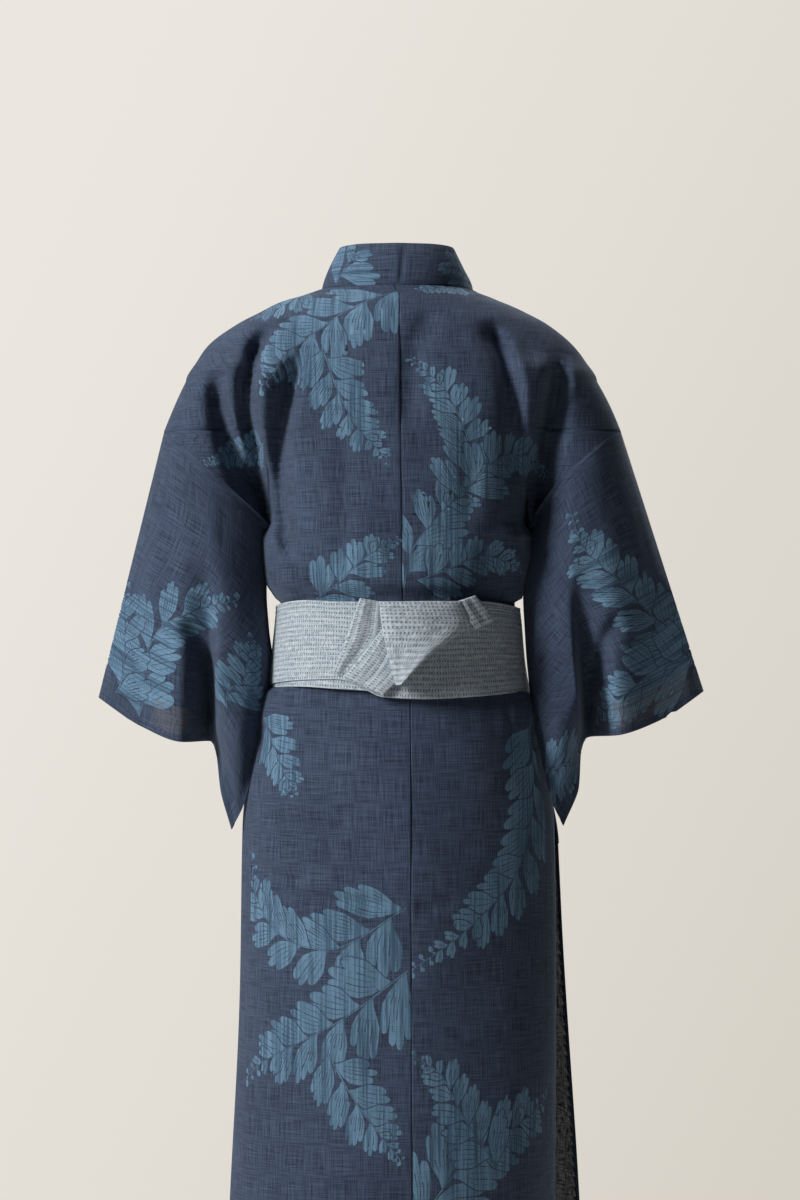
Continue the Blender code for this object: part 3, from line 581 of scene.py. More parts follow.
def swell(x, height, seed, size, amount):
    """Low, uneven waves that keep a broad surface from looking ruled."""
    rng = np.random.default_rng(seed)
    total = np.zeros(x.shape)
    for _ in range(7):
        turn = rng.uniform(0, np.pi)
        length = size * rng.uniform(0.7, 1.6)
        phase = rng.uniform(0, 2 * np.pi)
        total += np.sin((x * np.cos(turn) + 0.45 * height * np.sin(turn)) * 2 * np.pi / length + phase)
    return total * amount / 2.6


# Tucks that the belt presses into the cloth below and above it: where each meets the belt's edge, its width,
# its depth, and how far it runs from the belt.
TUCKS = {
    # face, edge: x, width, depth, reach
    ("back", "below"): (
        (0.112, 0.0055, 0.0030, 0.075),
        (0.094, 0.0045, 0.0016, 0.045),
        (0.061, 0.0050, 0.0012, 0.040),
        (0.030, 0.0045, 0.0010, 0.032),
        (-0.036, 0.0050, 0.0012, 0.045),
        (-0.066, 0.0045, 0.0015, 0.060),
        (-0.092, 0.0050, 0.0024, 0.090),
        (-0.110, 0.0040, 0.0034, 0.120),
        (-0.122, 0.0035, 0.0030, 0.100),
    ),
    ("back", "above"): (
        (0.100, 0.0050, 0.0030, 0.050),
        (0.074, 0.0045, 0.0018, 0.035),
        (0.038, 0.0045, 0.0012, 0.028),
        (-0.030, 0.0050, 0.0014, 0.032),
        (-0.058, 0.0045, 0.0018, 0.040),
        (-0.084, 0.0045, 0.0026, 0.055),
        (-0.104, 0.0040, 0.0030, 0.060),
    ),
    ("front", "below"): (
        (0.105, 0.0050, 0.0030, 0.090),
        (0.080, 0.0045, 0.0022, 0.060),
        (0.048, 0.0050, 0.0018, 0.050),
        (0.012, 0.0045, 0.0014, 0.045),
        (-0.030, 0.0050, 0.0018, 0.055),
        (-0.100, 0.0045, 0.0028, 0.085),
    ),
    ("front", "above"): (
        (0.104, 0.0050, 0.0030, 0.060),
        (0.070, 0.0045, 0.0022, 0.045),
        (0.020, 0.0050, 0.0018, 0.040),
        (-0.040, 0.0045, 0.0020, 0.045),
        (-0.096, 0.0045, 0.0030, 0.060),
    ),
}


def tuck_shift(x, height, face):
    """How far the belt's tucks move the body's cloth at each place on one face."""
    moved = np.zeros(x.shape)
    sag = OBI_SAG if face == "front" else 0.0
    below, above = OBI_BOTTOM - sag + TUCK_HIDDEN - height, height - (OBI_TOP - sag - TUCK_HIDDEN)
    for edge, away in (("below", below), ("above", above)):
        for start_x, width, depth, reach in TUCKS[face, edge]:
            share = away / reach
            run = np.clip(share, 0, 1)
            off = (x - start_x * (1 + TUCK_FAN * run)) / (width * (1 + TUCK_WIDENING * run))
            moved -= depth * (ease(share / 0.15) * ease((1 - share) / 0.8)) * np.exp(-(off ** 2))
    return moved


def creased(x, height, creases):
    """How far a table's creases move the cloth outwards at each place."""
    return sum(crease_shift(x, height, *crease) for crease in creases)


def neck_swing(grid):
    """Moves the back of the neck a little to the wearer's left, and lets the collar's seam sink there."""
    on_back = ease((grid[..., 1] + 0.03) / 0.05)
    near_seam = ease((grid[..., 2] - 1.452) / 0.0225) * ease((1.519 - grid[..., 2]) / 0.040)
    behind = ease((grid[..., 1] + 0.070) / 0.04)
    grid[..., 0] += NECK_SWING * ease((grid[..., 2] - 1.463) / 0.0115) * on_back
    grid[..., 2] -= NECK_DIP * near_seam * behind
    return grid


def softened(values, times=2):
    """A grid's values with its sharpest steps taken off, down the columns and along the rows in turn."""
    for _ in range(2 * times):
        wide = np.concatenate([values[:1], values, values[-1:]])
        values = (values / 2 + (wide[2:] + wide[:-2]) / 4).T
    return values


# Where the cloth bulges at the sides, over and under the belt: the side, the heights between which the bulge
# starts and is full, the heights between which it dies out, and how far it stands out.
BULGES = (
    # side, start, full, fading, gone, out
    ("left", 1.124, 1.134, 1.196, 1.216, 0.0085),
    ("right", 1.123, 1.133, 1.198, 1.216, 0.0150),
    ("left", 1.040, 1.028, 1.020, 0.975, 0.0130),
    ("right", 1.040, 1.028, 1.020, 0.975, 0.0130),
)


def bulge(grid):
    """Moves the sides out where the cloth is full above and below the belt."""
    x, height = grid[..., 0], grid[..., 2]
    moved = np.zeros(x.shape)
    for side, start, full, fading, gone, out in BULGES:
        rise = ease((height - start) / (full - start)) * (1 - ease((height - fading) / (gone - fading)))
        moved += SIGN[side] * out * ease((SIGN[side] * x - 0.085) / 0.035) * rise
    grid[..., 0] += moved
    return grid


def right_turn(x, amount):
    """How far the back's cloth is set in on the wearer's right, where it turns to the side."""
    return amount * ease(-x / 0.11)


def crease_body(grid, seed):
    """The body's creases, tucks and low waves, on a grid of points that may run round both faces."""
    grid = bulge(grid)
    x, y, height = grid[..., 0], grid[..., 1], grid[..., 2]
    moved = np.zeros(x.shape)
    for sign, face in ((1, "back"), (-1, "front")):
        shift = creased(x, height, BODY_CREASES[face]) + tuck_shift(x, height, face)
        calm = ease((OBI_BOTTOM - 0.01 - height) / 0.05) + ease((height - OBI_TOP - 0.01) / 0.05)
        shift += swell(x, height, seed, *BODY_SWELL) * calm
        if face == "back":
            shift = shift - right_turn(x, SKIRT_TURN) * ease((1.0 - height) / 0.15)
        moved += sign * shift * (y * sign > 0) * ease((np.abs(y) - 0.012) / 0.03)
    grid[..., 1] += softened(moved)
    return grid


def crease_sleeve(grid, side, layer, t, q):
    """A sleeve layer's creases and low waves. They die out at its seams and its fold."""
    x, height = grid[..., 0], grid[..., 2]
    shift = swell(x, height, SWELL_SEED["sleeve_" + side], *SLEEVE_SWELL)
    if layer == "back":
        shift = shift + creased(x, height, SLEEVE_CREASES[side])
    fade = ease(q[:, None] / 0.08) * ease(t[None] / 0.06) * ease((1 - t[None]) / 0.08)
    grid[..., 1] += (1 if layer == "back" else -1) * shift * fade
    return grid


def outward(grid, flip):
    """Unit normals of a grid of points, facing out of the cloth."""
    normal = unit(np.cross(np.gradient(grid, axis=1), np.gradient(grid, axis=0)), 1e-12)
    return -normal if flip else normal


def turned_under(grid, normals, end, width, thick=0.0012):
    """Adds rows to one end of a grid (first or last row) that fold the cloth under, for a doubled hem."""
    if end == "last":
        return turned_under(grid[::-1], normals[::-1], "first", width, thick)[::-1]
    edge, normal = grid[0], normals[0]
    onward = unit(edge - grid[1])
    added = []
    for angle in np.radians((60, 120, 180)):
        added.append(edge + onward * thick / 2 * np.sin(angle) - normal * (thick / 2) * (1 - np.cos(angle)))
    for share in (0.15, 0.4, 0.7, 1.0):
        added.append(edge - onward * width * share - normal * thick * (1 - 0.35 * ease((share - 0.6) / 0.4)))
    return np.concatenate([added[::-1], grid])


# The leaf print: sprays drawn on the flat cloth. Each runs through points (x, height) where it shows on its
# piece, with the length of its longest leaf, the side that its fingered leaves grow on (1 left of the way it
# runs, -1 right), and the seed of its small differences.
SPRAYS = {
    # piece: points, leaf, fingered side, seed
    "body_left back": (
        (((0.000, 1.466), (0.058, 1.442), (0.086, 1.424), (0.125, 1.394), (0.152, 1.358)), 0.068, 1, 1),
        (((0.087, 1.400), (0.066, 1.350), (0.042, 1.310), (0.012, 1.276)), 0.046, -1, 2),
        (((0.100, 1.464), (0.128, 1.452), (0.166, 1.436)), 0.034, 1, 3),
        (((0.096, 1.126), (0.066, 1.150), (0.036, 1.178), (0.002, 1.196)), 0.046, -1, 4),
        (((0.156, 1.004), (0.136, 0.966), (0.114, 0.920)), 0.040, 1, 5),
        (((-0.004, 0.802), (0.071, 0.757), (0.130, 0.772), (0.160, 0.812), (0.171, 0.850)), 0.064, -1, 6),
        (((-0.006, 0.732), (0.070, 0.684), (0.148, 0.634), (0.186, 0.612)), 0.068, 1, 7),
        (((0.080, 0.640), (0.046, 0.590), (0.000, 0.532)), 0.048, -1, 8),
        (((0.160, 0.300), (0.095, 0.335), (0.040, 0.400), (0.010, 0.470)), 0.066, 1, 9),
        (((0.150, 1.300), (0.180, 1.292), (0.216, 1.279)), 0.030, 1, 31),
    ),
    "body_right back": (
        (((-0.002, 1.142), (-0.011, 1.184), (-0.041, 1.224), (-0.080, 1.253)), 0.066, 1, 11),
        (((-0.062, 1.240), (-0.074, 1.290), (-0.048, 1.350), (-0.008, 1.389)), 0.046, 1, 12),
        (((-0.016, 1.150), (-0.056, 1.166), (-0.090, 1.176), (-0.131, 1.162)), 0.042, -1, 13),
        (((-0.066, 1.246), (-0.100, 1.280), (-0.126, 1.288), (-0.158, 1.268)), 0.046, -1, 14),
        (
            ((-0.140, 1.016), (-0.143, 0.930), (-0.130, 0.850), (-0.082, 0.786), (-0.010, 0.738)),
            0.062, 1, 15,
        ),
        (((-0.016, 0.468), (-0.060, 0.520), (-0.110, 0.556), (-0.164, 0.584)), 0.068, 1, 16),
        (((-0.102, 0.526), (-0.066, 0.580), (-0.042, 0.618), (-0.010, 0.641)), 0.046, -1, 17),
        (((-0.140, 0.300), (-0.090, 0.350), (-0.030, 0.380)), 0.062, -1, 18),
        (((-0.070, 1.472), (-0.046, 1.469), (-0.014, 1.464)), 0.030, -1, 19),
    ),
    "body_left front": (
        (((0.150, 1.050), (0.100, 0.960), (0.060, 0.840), (0.000, 0.760)), 0.066, 1, 21),
        (((0.150, 1.420), (0.120, 1.340), (0.060, 1.260)), 0.060, 1, 22),
        (((0.160, 0.500), (0.090, 0.560), (0.010, 0.590)), 0.066, -1, 23),
        (((0.020, 0.180), (0.080, 0.260), (0.150, 0.310)), 0.062, 1, 24),
    ),
    "body_right front": (
        (((-0.150, 1.400), (-0.110, 1.300), (-0.070, 1.200)), 0.060, -1, 25),
        (((-0.140, 0.700), (-0.100, 0.600), (-0.080, 0.480)), 0.060, 1, 26),
    ),
    "okumi_left": (
        (((-0.070, 0.980), (-0.100, 0.880), (-0.120, 0.760)), 0.046, 1, 27),
        (((-0.150, 0.560), (-0.110, 0.480), (-0.080, 0.360)), 0.050, 1, 28),
    ),
    "sleeve_left back": (
        (((0.289, 1.004), (0.2816, 1.053), (0.2600, 1.102), (0.2100, 1.124), (0.176, 1.131)), 0.062, 1, 32),
        (((0.316, 1.030), (0.311, 1.080), (0.302, 1.150)), 0.050, -1, 33),
        (((0.190, 1.012), (0.171, 1.050), (0.162, 1.092)), 0.044, 1, 34),
    ),
    "sleeve_right back": (
        (
            ((-0.320, 1.058), (-0.278, 1.106), (-0.237, 1.149), (-0.200, 1.184), (-0.183, 1.224)),
            0.062, 1, 35,
        ),
        (((-0.320, 1.066), (-0.270, 1.050), (-0.214, 1.000)), 0.062, 1, 36),
        (((-0.156, 0.938), (-0.176, 0.950), (-0.200, 0.958)), 0.036, 1, 37),
    ),
    "sleeve_left front": (
        (((0.190, 0.940), (0.220, 1.040), (0.270, 1.140)), 0.062, 1, 38),
    ),
    "sleeve_right front": (
        (((-0.190, 0.940), (-0.220, 1.040), (-0.270, 1.140)), 0.062, -1, 39),
    ),
    "collar": (
        (((0.072, 1.476), (0.062, 1.490), (0.050, 1.510)), 0.044, 1, 41),
        (((-0.074, 1.474), (-0.062, 1.490), (-0.046, 1.512)), 0.044, -1, 42),
    ),
}
GROUND, PRINT = 0, 1
STITCH_LENGTH, STITCH_WIDTH, STITCH_RISE = 0.0026, 0.0007, 0.0004
MOAT = 0.0012  # ground left clear round every leaf
LEAF_SIDE = (0.0, 0.12, 0.26, 0.42, 0.56)  # shares of a leaf's length where its sides' points lie
OFF_COLUMN, OFF_ROW = 0.003, 0.004  # steps from column to column and row to row beyond a cloth's edge
VEINED_LENGTH = 0.044  # leaves longer than this have a clear line down each finger
STEM_WIDTH, STEM_STEP = 0.0013, 0.0015


def curve_through(points):
    """A smooth line through a few flat points, with even steps: its points and their headings."""
    points = np.asarray(points, float)
    along = np.linspace(0, len(points) - 1, 300)
    tangent = np.gradient(points, axis=0)
    i = np.clip(along.astype(int), 0, len(points) - 2)
    u = (along - i)[:, None]
    line = (
        points[i] * (1 + 2 * u) * (1 - u) ** 2
        + tangent[i] * u * (1 - u) ** 2
        + points[i + 1] * u * u * (3 - 2 * u)
        - tangent[i + 1] * u * u * (1 - u)
    )
    length = run_of(line)
    line = blended(np.arange(0, length[-1], STEM_STEP), length, line)
    turn = np.gradient(line, axis=0)
    return line, np.unwrap(np.arctan2(turn[:, 1], turn[:, 0]))


def strip(line, widths):
    """The outline of a band along a line."""
    turn = unit(np.gradient(line, axis=0), 1e-12)
    side = np.stack([-turn[:, 1], turn[:, 0]], 1) * np.asarray(widths)[:, None] / 2
    return np.concatenate([line + side, (line - side)[::-1]])


def inside_outline(places, outline):
    """Numbers of the places that lie inside an outline."""
    low, high = outline.min(0), outline.max(0)
    near = np.nonzero(((places > low) & (places < high)).all(1))[0]
    x, y = places[near, 0], places[near, 1]
    inside = np.zeros(len(near), bool)
    for start, end in zip(outline, np.roll(outline, -1, axis=0)):
        crosses = (start[1] > y) != (end[1] > y)
        slope = (end[0] - start[0]) / (end[1] - start[1] + 1e-15)
        inside ^= crosses & (x < start[0] + slope * (y - start[1]))
    return near[inside]


def grown(outline, amount):
    """An outline moved outwards by amount."""
    ahead = np.roll(outline, -1, axis=0)
    area = np.sum(outline[:, 0] * ahead[:, 1] - outline[:, 1] * ahead[:, 0])
    ahead = unit(ahead - outline, 1e-12)
    normal = np.stack([ahead[:, 1], -ahead[:, 0]], 1)
    return outline + unit(normal + np.roll(normal, 1, axis=0), 0.5) * amount * (1 if area > 0 else -1)


def leaf(base, heading, length, width, fingers, bend, rng):
    """A leaf that bends away from its stem and ends in rounded fingers. Returns (kind, outline) pairs."""
    s = np.linspace(0, 1, 25)
    angle = heading + bend * s ** 0.7
    step = np.stack([np.cos(angle), np.sin(angle)], 1) * length / 24
    axis = base + np.concatenate([[[0, 0]], np.cumsum(step[:-1], axis=0)])

    def spot(share, a):
        share = np.clip(share, 0, 1)
        turn = np.interp(share, s, angle)
        reach = width * (0.09 + 0.91 * ease((share + 0.04) / 0.50) - 0.14 * ease((share - 0.75) / 0.25))
        return blended(share, s, axis) + np.array([-np.sin(turn), np.cos(turn)]) * reach * a

    def slit(a, first, last, wide, thin):
        line = np.array([spot(share, a) for share in np.linspace(first, last, 6)])
        slits.append((GROUND, strip(line, np.linspace(wide, thin, 6))))

    cuts = np.linspace(-0.5, 0.5, fingers + 1)
    cuts[1:-1] += rng.uniform(-0.05, 0.05, fingers - 1)
    middles = (cuts[1:] + cuts[:-1]) / 2
    lean = rng.uniform(-0.25, 0.25)
    tips = 1 - 0.26 * np.abs(2 * middles + lean) ** 1.6 - rng.uniform(0, 0.05, fingers)
    outline = [spot(share, -0.5) for share in LEAF_SIDE]
    slits = []
    for k in range(fingers):
        half = (cuts[k + 1] - cuts[k]) / 2
        cap = min(half * width / length * 1.5, 0.2)
        for turn in np.radians((180, 145, 110, 75, 40, 8)):
            outline.append(spot(tips[k] - cap + cap * np.sin(turn), middles[k] + half * 0.94 * np.cos(turn)))
        if k < fingers - 1:
            depth = rng.uniform(0.16, 0.36) if fingers > 3 else rng.uniform(0.06, 0.18)
            notch = min(tips[k], tips[k + 1]) - cap - depth
            outline.append(spot(notch, cuts[k + 1]))
            slit(cuts[k + 1], notch + 0.03, 0.22, 0.0012, 0.0004)
        if length > VEINED_LENGTH:
            slit(middles[k], tips[k] - 0.16, 0.30, 0.0003, 0.0007)
    outline = np.array(outline + [spot(share, 0.5) for share in LEAF_SIDE[::-1]])
    return [(GROUND, grown(outline, MOAT)), (PRINT, outline), *slits]


def bud(base, heading, reach, side):
    """A small bud on a bent stalk."""
    turn = np.linspace(0, 1, 12)
    angle = heading + side * turn * 1.9
    step = np.stack([np.cos(angle), np.sin(angle)], 1) * reach / 12
    line = base + np.cumsum(step, axis=0)
    width = reach * (0.13 + 0.36 * ease((turn - 0.35) / 0.3) * np.sqrt(np.clip((1.02 - turn) / 0.35, 0, 1)))
    return [(GROUND, strip(line, width + 2 * MOAT)), (PRINT, strip(line, width))]


def sprig(line, angle, rng, size):
    """The thin end of a spray: a stem whose small leaves end in curled buds."""
    shapes = []
    length = len(line) * STEM_STEP
    place, side = 0.10 * length, 1
    while place < 0.97 * length:
        share = place / length
        i = int(share * (len(line) - 1))
        reach = size * (0.62 - 0.30 * share) * rng.uniform(0.85, 1.15)
        if share < 0.62:
            shapes += leaf(line[i], angle[i] + side * 0.55, reach, reach * 0.46, 2, side * 0.35, rng)
        else:
            shapes += bud(line[i], angle[i] + side * 0.5, reach * 0.66, side)
        place += reach * 0.42
        side = -side
    return shapes


def spray(points, size, fingered, seed):
    """A stem with fingered leaves on one side and broad ones on the other, smaller towards its tip."""
    rng = np.random.default_rng(seed)
    line, angle = curve_through(points)
    count = len(line)
    length = count * STEM_STEP
    shapes = []
    place = 0.02 * length
    while place < 0.74 * length:
        share = place / length
        i = int(share * (count - 1))
        scale = 1.26 * size * (1 - 0.60 * share) * rng.uniform(0.93, 1.07)
        turn = fingered * (0.66 - 0.20 * share)
        broad = min(i + int(scale * 0.22 / STEM_STEP), count - 1)
        lobe = scale * 0.86
        shapes += leaf(line[broad], angle[broad] - turn, lobe, lobe * 0.56, 3, -fingered * 0.40, rng)
        fingers = 4 if scale > 0.042 else 3
        shapes += leaf(line[i], angle[i] + turn, scale, scale * 0.42, fingers, fingered * 0.30, rng)
        place += scale * 0.53
    tail = int(0.70 * count)
    shapes += sprig(line[tail:], angle[tail:], rng, size * 0.62)
    shapes += bud(line[-4], angle[-4], size * 0.20, fingered)
    thin = np.linspace(1.0, 0.35, len(line[::4]))
    for kind, width in ((GROUND, STEM_WIDTH + 0.0014), (PRINT, STEM_WIDTH)):
        shapes.append((kind, strip(line[::4], width * thin)))
    return shapes


def between(values, r, c):
    """Values of a grid between its points."""
    r0 = np.clip(r.astype(int), 0, values.shape[0] - 2)
    c0 = np.clip(c.astype(int), 0, values.shape[1] - 2)
    a = (r - r0).reshape(-1, *[1] * (values.ndim - 2))
    b = (c - c0).reshape(a.shape)
    return (
        values[r0, c0] * (1 - a) * (1 - b)
        + values[r0 + 1, c0] * a * (1 - b)
        + values[r0, c0 + 1] * (1 - a) * b
        + values[r0 + 1, c0 + 1] * a * b
    )


class Domain:
    """A grid of points with its flat places: u per point, v per row."""

    def __init__(self, grid, u, v):
        self.grid, self.u, self.v = grid, u, v
        self.sign = 1 if u[0, -1] > u[0, 0] else -1
        across = np.mean(self.sign * u, axis=0)
        self.across = np.maximum.accumulate(across + np.arange(len(across)) * TINY)

    def flat_at(self, places, columns):
        """The flat places of the grid points that show nearest each (x, height), in some of its columns."""
        grid, u = self.grid[:, columns], self.u[:, columns]
        found = []
        for x, height in places:
            gap = np.hypot(grid[..., 0] - x, grid[..., 2] - height)
            r, c = np.unravel_index(gap.argmin(), gap.shape)
            found.append((u[r, c], self.v[r]))
        return np.array(found)

    def index_of(self, flat):
        """Row and column, with fractions, of flat places. Places off the cloth come out beyond its ends."""
        rows, columns = self.u.shape
        r = np.interp(flat[:, 1], self.v, np.arange(rows))
        beyond = flat[:, 1] - np.clip(flat[:, 1], self.v[0], self.v[-1])
        low = np.clip(r.astype(int), 0, rows - 2)
        share = (r - low)[:, None]
        line = self.sign * ((1 - share) * self.u[low] + share * self.u[low + 1])
        c = np.empty(len(flat))
        for k, u in enumerate(self.sign * flat[:, 0]):
            if u <= line[k, 0]:
                c[k] = (u - line[k, 0]) / OFF_COLUMN
            elif u >= line[k, -1]:
                c[k] = columns - 1 + (u - line[k, -1]) / OFF_COLUMN
            else:
                c[k] = np.interp(u, line[k], np.arange(columns))
        return np.stack([r + beyond / OFF_ROW, c], 1)

    def to_plane(self, index):
        """Places in the plane that the faces are cut in: even with the cloth's own sizes, in millimetres."""
        place = []
        for number, values, step in ((index[:, 1], self.across, OFF_COLUMN), (index[:, 0], self.v, OFF_ROW)):
            count = len(values)
            off = np.where(number < 0, number, np.maximum(number - count + 1, 0)) * step
            place.append(np.interp(number, np.arange(count), values) + off)
        return np.stack(place, 1) * 1000

    def from_plane(self, places):
        rows, columns = self.u.shape
        r = np.interp(places[:, 1] / 1000, self.v, np.arange(rows))
        return r, np.interp(places[:, 0] / 1000, self.across, np.arange(columns))

    def cut(self, shapes):
        """Triangles of the grid with the shapes' outlines cut in.

        Returns their points, flat places, corners, kinds, and middles in the plane.
        """
        rows, columns = self.u.shape
        number = np.arange(rows * columns).reshape(rows, columns)
        plane = self.to_plane(np.stack(np.divmod(number.ravel(), columns), 1).astype(float))
        rim = np.concatenate([number[0, :], number[1:, -1], number[-1, -2::-1], number[-2:0:-1, 0]])
        low, high = plane.min(0), plane.max(0)
        spots, edges, outlines = [plane], [], []
        count = len(plane)
        for kind, outline in shapes:
            outline = self.to_plane(self.index_of(outline))
            if (outline.max(0) < low).any() or (outline.min(0) > high).any():
                continue
            ring = np.arange(count, count + len(outline))
            edges += np.stack([ring, np.roll(ring, -1)], 1).tolist()
            spots.append(outline)
            outlines.append((kind, outline))
            count += len(outline)
        spots = [Vector(spot) for spot in np.concatenate(spots)]
        made = delaunay_2d_cdt(spots, edges, [rim.tolist()], 1, PLANE_WELD, False)
        places = np.array([(place.x, place.y) for place in made[0]])
        corners = np.array(made[2])
        middles = places[corners].mean(1)
        inside = ((middles > low) & (middles < high)).all(1)
        corners, middles = corners[inside], middles[inside]
        kinds = np.zeros(len(corners), int)
        for kind, outline in outlines:
            kinds[inside_outline(middles, outline)] = kind
        r, c = self.from_plane(places)
        flat = np.stack([between(self.u, r, c), np.interp(places[:, 1] / 1000, self.v, self.v)], 1)
        return between(self.grid, r, c), flat, corners, kinds, middles


def flat_places(*grids, sign):
    """Flat u of neighbouring grids, counted on from the first one's first column, and v of their rows."""
    us, start = [], 0.0
    for grid in grids:
        step = np.linalg.norm(np.diff(grid, axis=1), axis=2)
        u = start + np.concatenate([np.zeros((len(grid), 1)), np.cumsum(step, axis=1)], 1)
        us.append(sign * u)
        start = u[:, -1:]
    rise = np.concatenate([np.linalg.norm(np.diff(grid, axis=0), axis=2) for grid in grids], 1)
    return us, np.concatenate([[0], np.cumsum(np.median(rise, axis=1))])


def grid_faces(rows, columns):
    """The corners of the faces of a grid whose points are numbered row by row."""
    near = np.arange(rows - 1)[:, None] * columns + np.arange(columns - 1)
    return near.reshape(-1, 1) + [0, 1, columns + 1, columns]


def added(name, data, place=(0, 0, 0)):
    """A new object in the scene, at a place."""
    made = bpy.data.objects.new(name, data)
    made.location = place
    bpy.context.scene.collection.objects.link(made)
    return made


def new_object(name, points, faces, kinds, flat, materials, slot_name):
    """A mesh piece from arrays, riding on the frame's body, with its flat places as its UV map."""
    mesh = bpy.data.meshes.new(name)
    lowered = np.asarray(points, float) - (0, 0, HOLD_HEIGHT)
    mesh.from_pydata(lowered.tolist(), [], np.asarray(faces).tolist())
    for material in materials:
        mesh.materials.append(material)
    mesh.polygons.foreach_set("material_index", np.asarray(kinds, np.int32))
    if flat is not None:
        layer = mesh.uv_layers.new(name="cut")
        index = np.empty(len(mesh.loops), np.int32)
        mesh.loops.foreach_get("vertex_index", index)
        layer.data.foreach_set("uv", np.asarray(flat, np.float32)[index].ravel())
    shape = bmesh.new()
    shape.from_mesh(mesh)
    bmesh.ops.remove_doubles(shape, verts=shape.verts, dist=WELD)
    loose = [vert for vert in shape.verts if not vert.link_faces]
    bmesh.ops.delete(shape, geom=loose, context="VERTS")
    shape.to_mesh(mesh)
    shape.free()
    mesh.shade_smooth()
    made = added(name, mesh)
    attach(made, "root")
    return made


def shapes_for(domain, label, columns=slice(0, None)):
    """The shapes of every spray on one face of a piece, on the domain's flat cloth."""
    shapes = []
    for points, size, fingered, seed in SPRAYS.get(label, ()):
        shapes += spray(domain.flat_at(points, columns), size, fingered, seed)
    return shapes


def cloth_piece(name, domains, flip, turn=None):
    """One cut piece of the robe from its domains, each a (Domain, shapes, sheer mask) triple. The sheer mask
    marks single cloth, which lets light between its threads and is paled with painted backlight.
    """
    parts, start = [], 0
    for domain, shapes, sheer in domains:
        place, flat, corners, kind, middles = domain.cut(shapes)
        if turn:
            flat = np.stack([-flat[:, 1], flat[:, 0]], 1) * SIGN[turn]
        if sheer is not None:
            kind = kind + 2 * (between(sheer, *domain.from_plane(middles)) > 0.5)
        parts.append((place, (corners[:, ::-1] if flip else corners) + start, kind, flat))
        start += len(place)
    arrays = [np.concatenate(part) for part in zip(*parts)]
    return new_object(name, *arrays, [cotton, leaf_print, sheer_cotton_painted_backlight, sheer_print_painted_backlight], "yukata_cotton")


def lipped(grid, normals, end, depth=0.0013):
    """Adds two close columns at one end of a grid and turns its edge in, as beside a seam."""
    if end == "last":
        return lipped(grid[:, ::-1], normals[:, ::-1], "first", depth)[:, ::-1]
    inward = grid[:, 1] - grid[:, 0]
    step = np.maximum(np.linalg.norm(inward, axis=1, keepdims=True), 1e-9)
    near = grid[:, 0] + inward * np.minimum(0.0006 / step, 0.3) - normals[:, 0] * depth * 0.35
    far = grid[:, 0] + inward * np.minimum(0.0016 / step, 0.7)
    edge = grid[:, 0] - normals[:, 0] * depth - inward / step * SEAM_OVERLAP
    return np.concatenate([edge[:, None], near[:, None], far[:, None], grid[:, 1:]], 1)


def stitch_row(name, line, normals, pitch):
    """A row of small raised stitches along a line of points on the cloth."""
    run = run_of(line)
    points, faces = [], []
    for centre in np.arange(pitch, run[-1] - pitch, pitch):
        first = len(points)
        ends = blended(centre + np.array([-0.5, 0, 0.5]) * STITCH_LENGTH, run, line)
        normal = unit(blended(centre, run, normals))
        side = np.cross(normal, ends[2] - ends[0])
        side *= STITCH_WIDTH / 2 / np.linalg.norm(side)
        for spot, high in zip(ends, (0.3, 1.0, 0.3)):
            for across, up in ((-1.0, -0.4), (-0.6, 1.0), (0.6, 1.0), (1.0, -0.4)):
                points.append(spot + side * across + normal * STITCH_RISE * up * high)
        for start in (first, first + 4):
            for k in range(4):
                near, far = start + k, start + (k + 1) % 4
                faces.append((near, near + 4, far + 4, far))
        faces.append((first, first + 1, first + 2, first + 3))
        faces.append((first + 11, first + 10, first + 9, first + 8))
    return new_object(name, points, faces, np.zeros(len(faces)), None, [sewing_thread], "yukata_cotton")


def body_piece(side):
    """Back and front of one side. Returns the piece and its creased grids without hems."""
    name, flip = "body_" + side, side == "left"
    back, front = body_grids(side)
    width = back.shape[1]
    whole = neck_swing(crease_body(np.concatenate([back, front], 1), SWELL_SEED[name]))
    back, front = edges = whole[:, :width], whole[:, width:]
    back = lipped(back, outward(back, flip), "first")
    front = lipped(front, outward(front, flip), "last")
    width = back.shape[1]
    joined = np.concatenate([back, front[:, 1:]], 1)
    normals = outward(joined, flip)
    hemmed = turned_under(joined, normals, "first", HEM)[: -len(joined)]
    back = np.concatenate([hemmed[:, :width], back])
    front = np.concatenate([hemmed[:, width - 1 :], front])
    us, v = flat_places(back, front, sign=-SIGN[side])
    domains = []
    for label, grid, u in zip(("back", "front"), (back, front), us):
        domain = Domain(grid, u, v)
        domains.append((domain, shapes_for(domain, f"{name} {label}"), None))
    hem = stitch_row(name + "_hem_stitches", joined[2], normals[2], HEM_PITCH)
    made = cloth_piece(name + "_cloth", domains, flip)
    return made, edges


